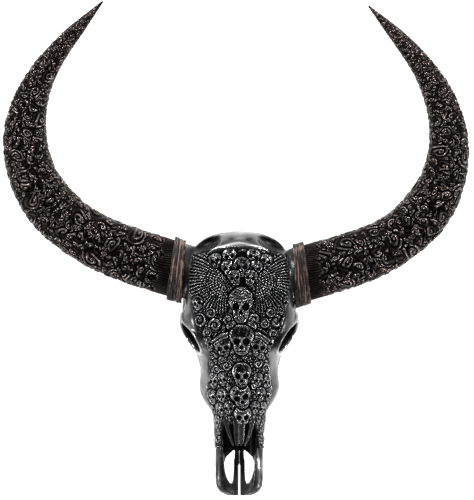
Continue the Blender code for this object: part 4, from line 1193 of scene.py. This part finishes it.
def skullStamp(x, y):
    # plain human skull, half width 1: a domed brow over a narrower face; eyes, nose and a line of teeth cut in
    dome = 1 - x**2 - ((y - 0.32) / 0.86) ** 2
    face = 1 - (x / 0.66) ** 2 - ((y + 0.42) / 0.80) ** 2
    inside = np.maximum(smoothStep(0.0, 0.10, dome), smoothStep(0.0, 0.10, face))
    height = np.maximum(np.sqrt(np.clip(dome, 0, 1)), 0.80 * np.sqrt(np.clip(face, 0, 1)))
    height = height + 0.16 * bell(y - 0.16 - 0.10 * np.cos(x * 5), 0.10) * (np.abs(x) < 0.80)
    height = height + 0.22 * bell(np.abs(x) - 0.56, 0.16) * bell(y + 0.38, 0.15)
    socket = np.exp(-(((np.abs(x) - 0.40) / 0.29) ** 2 + ((y + 0.08) / 0.28) ** 2) ** 2)
    nose = np.exp(-((x / (0.15 + 0.10 * np.clip(-0.40 - y, 0, 1))) ** 2 + ((y + 0.50) / 0.17) ** 2) ** 2)
    height = height * (1 - 0.95 * socket) * (1 - 0.90 * nose)
    teeth = smoothStep(-1.02, -0.95, y) * (1 - smoothStep(-0.74, -0.68, y)) * (np.abs(x) < 0.46)
    lines = 0.40 * np.abs(np.sin(x * np.pi / 0.19)) ** 6 + 0.55 * bell(y + 0.84, 0.035)
    return height * (1 - teeth * lines), inside


def curlStamp(x, y):
    # spiral ridge round a bulb
    turns, core = 1.6, 0.30 / 1.6 * 1.1
    radius, angle = np.hypot(x, y), np.arctan2(y, x)
    ridge = (0.5 - 0.5 * np.cos(2 * np.pi * (turns * radius - angle / (2 * np.pi)))) ** 0.7
    height = np.where(radius < core, np.sqrt(np.clip(1 - (radius / core) ** 2, 0, 1)), ridge)
    return (0.15 + 0.85 * height) * np.clip(1.15 - 0.4 * radius**2, 0, 1), 1 - smoothStep(0.90, 1.0, radius)


def domeStamp(x, y):
    # half a ball
    radius = np.hypot(x, y)
    return np.sqrt(np.clip(1 - radius**2, 0, 1)), 1 - smoothStep(0.93, 1.0, radius)


stamps = {"skull": skullStamp, "curl": curlStamp, "dome": domeStamp}


def stamp(word, px, py, size, turn, lift, stretch, foot, rim):
    # sets a shape down by its place in the photograph; a dark groove runs round it; later ones lie on top
    station = (photoFoot - py) * photoScale
    middle = acrossAt(station, (px - photoAxis) * photoScale)[0]
    half = size * carvingLook["grow"] * photoScale / 2
    reach = half * 1.5 * max(stretch, 1.0)
    rows, columns = (np.nonzero(np.abs(line - at) < reach)[0]
                     for line, at in ((carveS, station), (carveX, middle)))
    if not len(rows) or not len(columns):
        return
    window = np.ix_(rows, columns)
    dx, dy = (carveX[columns][None, :] - middle) / half, (carveS[rows][:, None] - station) / half
    c, s = math.cos(math.radians(turn)), math.sin(math.radians(turn))
    x, y = (c * dx + s * dy), (-s * dx + c * dy) / stretch
    groove = stamps[word](x / rim, y / rim)[1]
    height, inside = stamps[word](x, y)
    under = carveHeight[window] * (1 - groove) + carvingLook["groove"] * groove
    carveHeight[window] = under * (1 - inside) + (foot + height * lift) * inside


def stroke(points, width, lift, foot):
    # a rounded cord along a bent line given in the photograph's places
    points = smoothPath(points, 24)
    station = (photoFoot - points[:, 1]) * photoScale
    across = acrossAt(station, (points[:, 0] - photoAxis) * photoScale)
    half = width * photoScale / 2
    rows, columns = (np.nonzero((line > at.min() - half * 2) & (line < at.max() + half * 2))[0]
                     for line, at in ((carveS, station), (carveX, across)))
    window = np.ix_(rows, columns)
    far = np.full((len(rows), len(columns)), 9.0)
    corners = np.column_stack((across, station))
    for a, b in zip(corners, corners[1:]):
        way = b - a
        dx, dy = carveX[columns][None, :] - a[0], carveS[rows][:, None] - a[1]
        t = np.clip((dx * way[0] + dy * way[1]) / max(way @ way, 1e-12), 0, 1)
        far = np.minimum(far, np.hypot(dx - t * way[0], dy - t * way[1]))
    inside, groove = 1 - smoothStep(0.85, 1.0, far / half), 1 - smoothStep(1.3, 1.6, far / half)
    height = foot + lift * np.sqrt(np.clip(1 - (far / half) ** 2, 0, 1))
    under = carveHeight[window] * (1 - groove) + np.minimum(carveHeight[window], 0.0004) * groove
    carveHeight[window] = under * (1 - inside) + height * inside


def carveFiller():
    # the ground between the motifs is covered with small curls and beads, as darts thrown in order of size
    dice = np.random.default_rng(carvingLook["seed"])
    low, more = fillerLook["lift"]
    for size, tries, word in fillerLook["sorts"]:
        for _ in range(tries):
            px, py = (dice.uniform(*ends) for ends in fillerLook["field"])
            half = float(tableValue(carvedBorder, 1, (photoFoot - py) * photoScale)) / photoScale
            if abs(px - photoAxis) < half:
                grown = size * dice.uniform(*fillerLook["vary"])
                stamp(word, px, py, grown, dice.uniform(0, 360), low + grown * more, 1.0, 0.0003, 1.18)


def carveWings():
    # long feathers a side, fanned round a pivot between two curves; their inner part is laid with small scales
    look = wingLook
    station = carveS[:, None] + 0 * carveX[None, :]
    plan = rowBlend(arcX, carveS.clip(arcStations[0], arcStations[-1]), arcLength,
                    np.broadcast_to(carveX, station.shape).copy())
    px, py = plan / photoScale + photoAxis, photoFoot - station / photoScale
    for side, pivot in zip(sides.values(), look["pivots"]):
        u, w = (px - pivot) * side, look["level"] - py
        radius, angle = np.hypot(u, w), np.degrees(np.arctan2(w, u))
        outer = np.interp(angle, look["outerAngles"], look["outerRadii"])
        angle = angle + look["sweep"] * (radius / look["length"]) ** 2
        fan = angle / look["feather"]
        ends = smoothStep(-92, -89, angle) * (1 - smoothStep(84, 87, angle))
        inside = (1 - smoothStep(-0.7, 0.3, radius - outer - 1.2 * np.cos(2 * np.pi * fan))) * ends
        # feathers: ridges with barbs
        barbs = look["barbs"] * np.sin(radius * 2.1 + np.abs(fan % 1 - 0.5) * 6 + 2 * np.floor(fan))
        feathers = np.abs(np.cos(np.pi * fan)) ** 1.3 * (1 + barbs)
        feathers = feathers * (0.75 + 0.25 * smoothStep(18, 34, radius))
        # scales: half balls in staggered rows
        row = np.floor(radius / look["scale"])
        sideways = (angle / 14.0 * np.maximum(row * 0.30, 0.6) + 0.5 * (row % 2)) % 1
        down = radius / look["scale"] - row
        scales = np.sqrt(np.clip(1 - ((sideways - 0.5) / 0.50) ** 2 - ((down - 0.35) / 0.62) ** 2, 0, 1))
        share = smoothStep(16.5, 20.5, radius + 1.8 * np.sin(angle / 5))
        height = look["scaleHeight"] * scales * (1 - share) + look["featherHeight"] * feathers * share
        carveHeight[:] = carveHeight * (1 - inside) + (look["groove"] + height) * inside
        carveShade[:] = np.maximum(carveShade, look["shade"] * inside)


def carveFigures():
    # black field behind the upper skulls, then every figure
    px, py = carveX[None, :] / photoScale + photoAxis, photoFoot - carveS[:, None] / photoScale
    field = 1 - smoothStep(0.9, 1.0, np.abs(px - 241) / np.maximum(2, 34 - (py - 258).clip(0) * 0.95))
    carveHeight[:] = carveHeight * (1 - field * smoothStep(250, 253, py) * (1 - smoothStep(286, 292, py)))
    for word, lift, foot, rim, rows in faceFigures:
        for row in rows:
            if word == "cord":
                stroke(row, rim, lift, foot)
            else:
                stamp(word, *row[:4], lift, row[4] if len(row) > 4 else 1.0, foot, rim)


def roughen():
    # tool marks: short uneven facets over everything, and fine grain
    x, s = carveX[None, :], carveS[:, None]
    marks = smoothNoise(x, s, 0 * x, 31, 0.0013) + 0.8 * smoothNoise(x, s, 0 * x, 32, 0.0007)
    marks = carvingLook["marks"] * marks * smoothStep(0.0004, 0.0020, carveHeight)
    carveHeight[:] = np.maximum(0, carveHeight + marks)
    # places that stand above their surroundings are worn bright; places below them are painted black as shade, and
    # the wings' field is darkened by painted shade
    level, close, wide = carvingLook["wear"]
    near, far = carveHeight - blurred(carveHeight, 3), carveHeight - blurred(carveHeight, 9)
    carveWearAndPaintedShade[:] = np.clip(level + near / close + far / wide - carveShade, 0, 1)


carveFiller()
carveWings()
carveFigures()
roughen()
print("face carving drawn")


sheetLook = {"step": 0.006, "sunk": 0.0030, "skin": 0.0014, "borderWear": 0.30, "wallWear": 0.12,
             "foreheadColumns": 291, "noseColumns": 211, "wallColumns": 72}
prongLook = {
    # path from the nose's root to its tip, half width along it, thickness, depth of the grooves, shine
    "blade": (((0.0262, 0.1500), (0.0240, 0.1380), (0.0190, 0.1200), (0.0135, 0.1050), (0.0112, 0.0970)),
              (0.0040, 0.0034, 0.0024, 0.0014, 0.0005), 0.0030, 0.0003, 0.55),
    "tongue": (((0.0058, 0.1500), (0.0052, 0.1350), (0.0048, 0.1180), (0.0042, 0.1060), (0.0034, 0.0985)),
               (0.0056, 0.0050, 0.0044, 0.0036, 0.0014), 0.0044, 0.0007, 0.42),
}


def reliefAt(station, across, canvas):
    # bilinear reading of the carved heights or of their wear
    rows = np.clip((station - carveS[0]) / carvingLook["cell"], 0, len(carveS) - 1.001)[:, None] + 0 * across
    columns = np.clip((across - carveX[0]) / carvingLook["cell"], 0, len(carveX) - 1.001)
    r, c = rows.astype(int), columns.astype(int)
    p, q = rows - r, columns - c
    return (canvas[r, c] * (1 - p) * (1 - q) + canvas[r + 1, c] * p * (1 - q)
            + canvas[r, c + 1] * (1 - p) * q + canvas[r + 1, c + 1] * p * q)


def closedSheet(name, base, normals, lift, depth, relief, *nodes):
    # two grids of equal size back to back, base + lift and base - depth, with a wall round their rim
    rows, columns = base.shape[:2]
    count = rows * columns
    index = np.arange(count).reshape(rows, columns)
    quads = np.stack((index[:-1, :-1], index[:-1, 1:], index[1:, 1:], index[1:, :-1]), axis=-1).reshape(-1, 4)
    rim = np.concatenate((index[0, :-1], index[:-1, -1], index[-1, :0:-1], index[:0:-1, 0]))
    ahead = np.roll(rim, -1)
    wall = np.stack((rim, rim + count, ahead + count, ahead), axis=-1)
    points = np.concatenate([(base + normals * way).reshape(-1, 3) for way in (lift[..., None], -depth)])
    quads = np.concatenate((quads, quads[:, ::-1] + count, wall))
    values = {"relief": np.concatenate((relief.ravel(), np.full(count, sheetLook["wallWear"])))}
    finish(buildMesh(name, points, quads, None, values), carvedBone, *nodes)


def carvedSheet(name, station, across, depth, front, *nodes):
    # base surface of the head, moved along its normals by the carving; it dips under the bone at its border
    base = facePoints(station, across)
    normals = gridNormals(base, False)
    normals = np.where((normals[..., 2:3] < 0) & (np.abs(normals[..., 2:3]) > 0.3), -normals, normals)
    if normals[..., 2].mean() < 0:
        normals = -normals
    share = carvedShare(across, station)
    if front:
        share = share * smoothStep(0.0, 0.004, station - front)[:, None]
    lift = share * (sheetLook["skin"] + reliefAt(station, across, carveHeight)) - sheetLook["sunk"]
    relief = reliefAt(station, across, carveWearAndPaintedShade) * share + sheetLook["borderWear"] * (1 - share)
    closedSheet(name, base, normals, lift, depth, relief, *nodes)


def nostrilWall(name, station, across):
    # carved scales along the top and the outside of the wall, running out in a ragged edge
    base = facePoints(station, across)
    normals = outward(gridNormals(base, False), base, base.mean(axis=(0, 1)) * (0.6, 1, 0.6))
    share = np.linspace(0, 1, across.shape[1])[None, :]
    ends = smoothStep(0.0, 0.006, station - station[0])[:, None]
    ends = ends * smoothStep(0.0, 0.10, share) * smoothStep(0.0, 0.12, 1 - share)
    lift = ends * (0.0034 + 0.75 * reliefAt(station, across, carveHeight)) - 0.0034
    relief = reliefAt(station, across, carveWearAndPaintedShade) * ends + sheetLook["borderWear"] * (1 - ends)
    closedSheet(name, base, normals, lift, 0.0060, relief, "muzzle")


def nasalProng(name, word):
    # each nasal bone ends in a thin blade beside the nostril and a broader grooved tongue at the middle
    path, wide, thick, cut, shine = prongLook[name]
    x, station = smoothPath(path, 60).T
    half = np.interp(np.linspace(0, 1, len(x)), (0, 0.25, 0.6, 0.85, 1.0), wide)
    deep = thick * np.clip(0.45 + 0.55 * half / wide[0], 0, 1) / 2
    centres = np.stack((x, station, nasalTop(x, station) - deep - 0.0004), axis=-1)
    rings, angle = ovalRings(centres, xWay, zWay, half, deep, 36, 2.6), circle(36)
    rings[..., 2] -= np.where(np.sin(angle) > 0, np.cos(angle * 7) ** 2, 0.0) * cut
    rings = mirrored(rings, sides[word]) + setting
    piece = tubePiece(f"nasal_{name}_{word}", rings, {"shine": np.full(rings.shape[:2], shine)})
    finish(piece, polishedBoneWithPaintedSheen, f"nasal_{word}")


def sheetPlaces(station, count):
    # even steps from one side to the other, a little past the border of the carving
    return (borderAcross(station) + sheetLook["step"])[:, None] * np.linspace(-1, 1, count)


def buildFace():
    # the forehead in two fields, the nose in one, and a strip along the top of each nostril's wall
    station = np.linspace(0.2585, 0.4735, 240)
    across = sheetPlaces(station, sheetLook["foreheadColumns"])
    for number, part in enumerate((slice(0, 120), slice(119, 240))):
        carvedSheet(f"forehead_carved_{number + 1}", station[part], across[part], 0.0060, None, "cranium")
    station = np.linspace(0.1410, 0.2630, 150)
    across = sheetPlaces(station, sheetLook["noseColumns"])
    carvedSheet("nose_carved", station, across, 0.0056, 0.1385, "nasal_left", "nasal_right", "muzzle")
    station = np.linspace(0.0865, 0.1500, 96)
    outer = (acrossAt(station, 0.0500) - 0.001)[:, None]
    edge = np.interp(station, (0.0865, 0.105, 0.125, 0.150), (0.0345, 0.0340, 0.0330, 0.0270))
    inner = acrossAt(station, edge)[:, None]
    across = inner + (outer - inner) * np.linspace(0, 1, sheetLook["wallColumns"])
    for word, side in sides.items():
        nostrilWall(f"nostril_wall_{word}", station, side * across)
    for word in sides:
        for name in prongLook:
            nasalProng(name, word)
    print("face carved")


buildFace()


# studio

studio = {"middle": (0.0018, 0.0043), "lens": 190.0, "height": 5.053, "floorHalf": 6.0, "floorLevel": -0.0004,
          "floorColour": (0.92, 0.92, 0.92), "floorGlow": 0.92, "skyStrength": 0.9,
          # brightness from straight down to straight up: faces turned up stay black
          "skyLevels": (0.0, 0.30, 0.62, 1.0), "sky": (1.0, 0.75, 0.10, 0.01),
          # place, size in metres and watts
          "lamps": {"rear_left": ((-1.2, 1.5, 1.15), 0.36, 40.0), "rear_right": ((1.5, 1.2, 1.0), 0.34, 32.0),
                    "front_left": ((-1.6, -1.1, 0.9), 0.32, 20.0),
                    "front_right": ((1.3, -1.5, 0.8), 0.30, 17.0),
                    "key": ((-0.35, 1.15, 2.2), 0.24, 16.0), "fill": ((0.8, 0.3, 2.2), 0.22, 8.0)},
          "aim": (0, 0, 0.08)}


def buildStudio():
    # glowing white floor, a graded sky, disc lamps round the skull and a camera straight above it
    half, level = studio["floorHalf"], studio["floorLevel"]
    corners = np.array(((-half, -half), (half, -half), (half, half), (-half, half)))
    corners = np.column_stack((corners, np.full(4, level)))
    floor = buildMesh("studio_floor", corners, np.array([[0, 1, 2, 3]]))
    if floor.data.polygons[0].normal.z < 0:
        floor.data.flip_normals()
    floor.data.materials.append(newMaterial("studioFloor", {
        "Base Color": (*studio["floorColour"], 1.0), "Roughness": 0.9, "Emission Color": (1.0, 1.0, 1.0, 1.0),
        "Emission Strength": studio["floorGlow"]}))

    world = bpy.data.worlds.new("studio")
    bpy.context.scene.world = world
    world.use_nodes = True
    tree = world.node_tree
    parts = addNode(tree, "SeparateXYZ", {0: addNode(tree, "TexCoord", {}).outputs["Generated"]})
    sky = addRamp(tree, parts.outputs["Z"], studio["skyLevels"], [(share,) * 3 for share in studio["sky"]])
    feed(tree, tree.nodes["Background"].inputs["Color"], sky)
    feed(tree, tree.nodes["Background"].inputs["Strength"], studio["skyStrength"])

    for name, (place, size, power) in studio["lamps"].items():
        data = bpy.data.lights.new(name, "AREA")
        data.shape, data.size, data.energy = "DISK", size, power
        lamp = linked(name, data)
        lamp.location = place
        lamp.rotation_euler = (Vector(studio["aim"]) - Vector(place)).to_track_quat("-Z", "Y").to_euler()

    data = bpy.data.cameras.new("camera")
    data.lens, data.sensor_width, data.clip_end = studio["lens"], 36.0, 50.0
    camera = linked("camera", data)
    camera.location = (*studio["middle"], studio["height"])
    bpy.context.scene.camera = camera
    bpy.context.scene.view_settings.view_transform = "Standard"
    print("studio ready")


buildStudio()
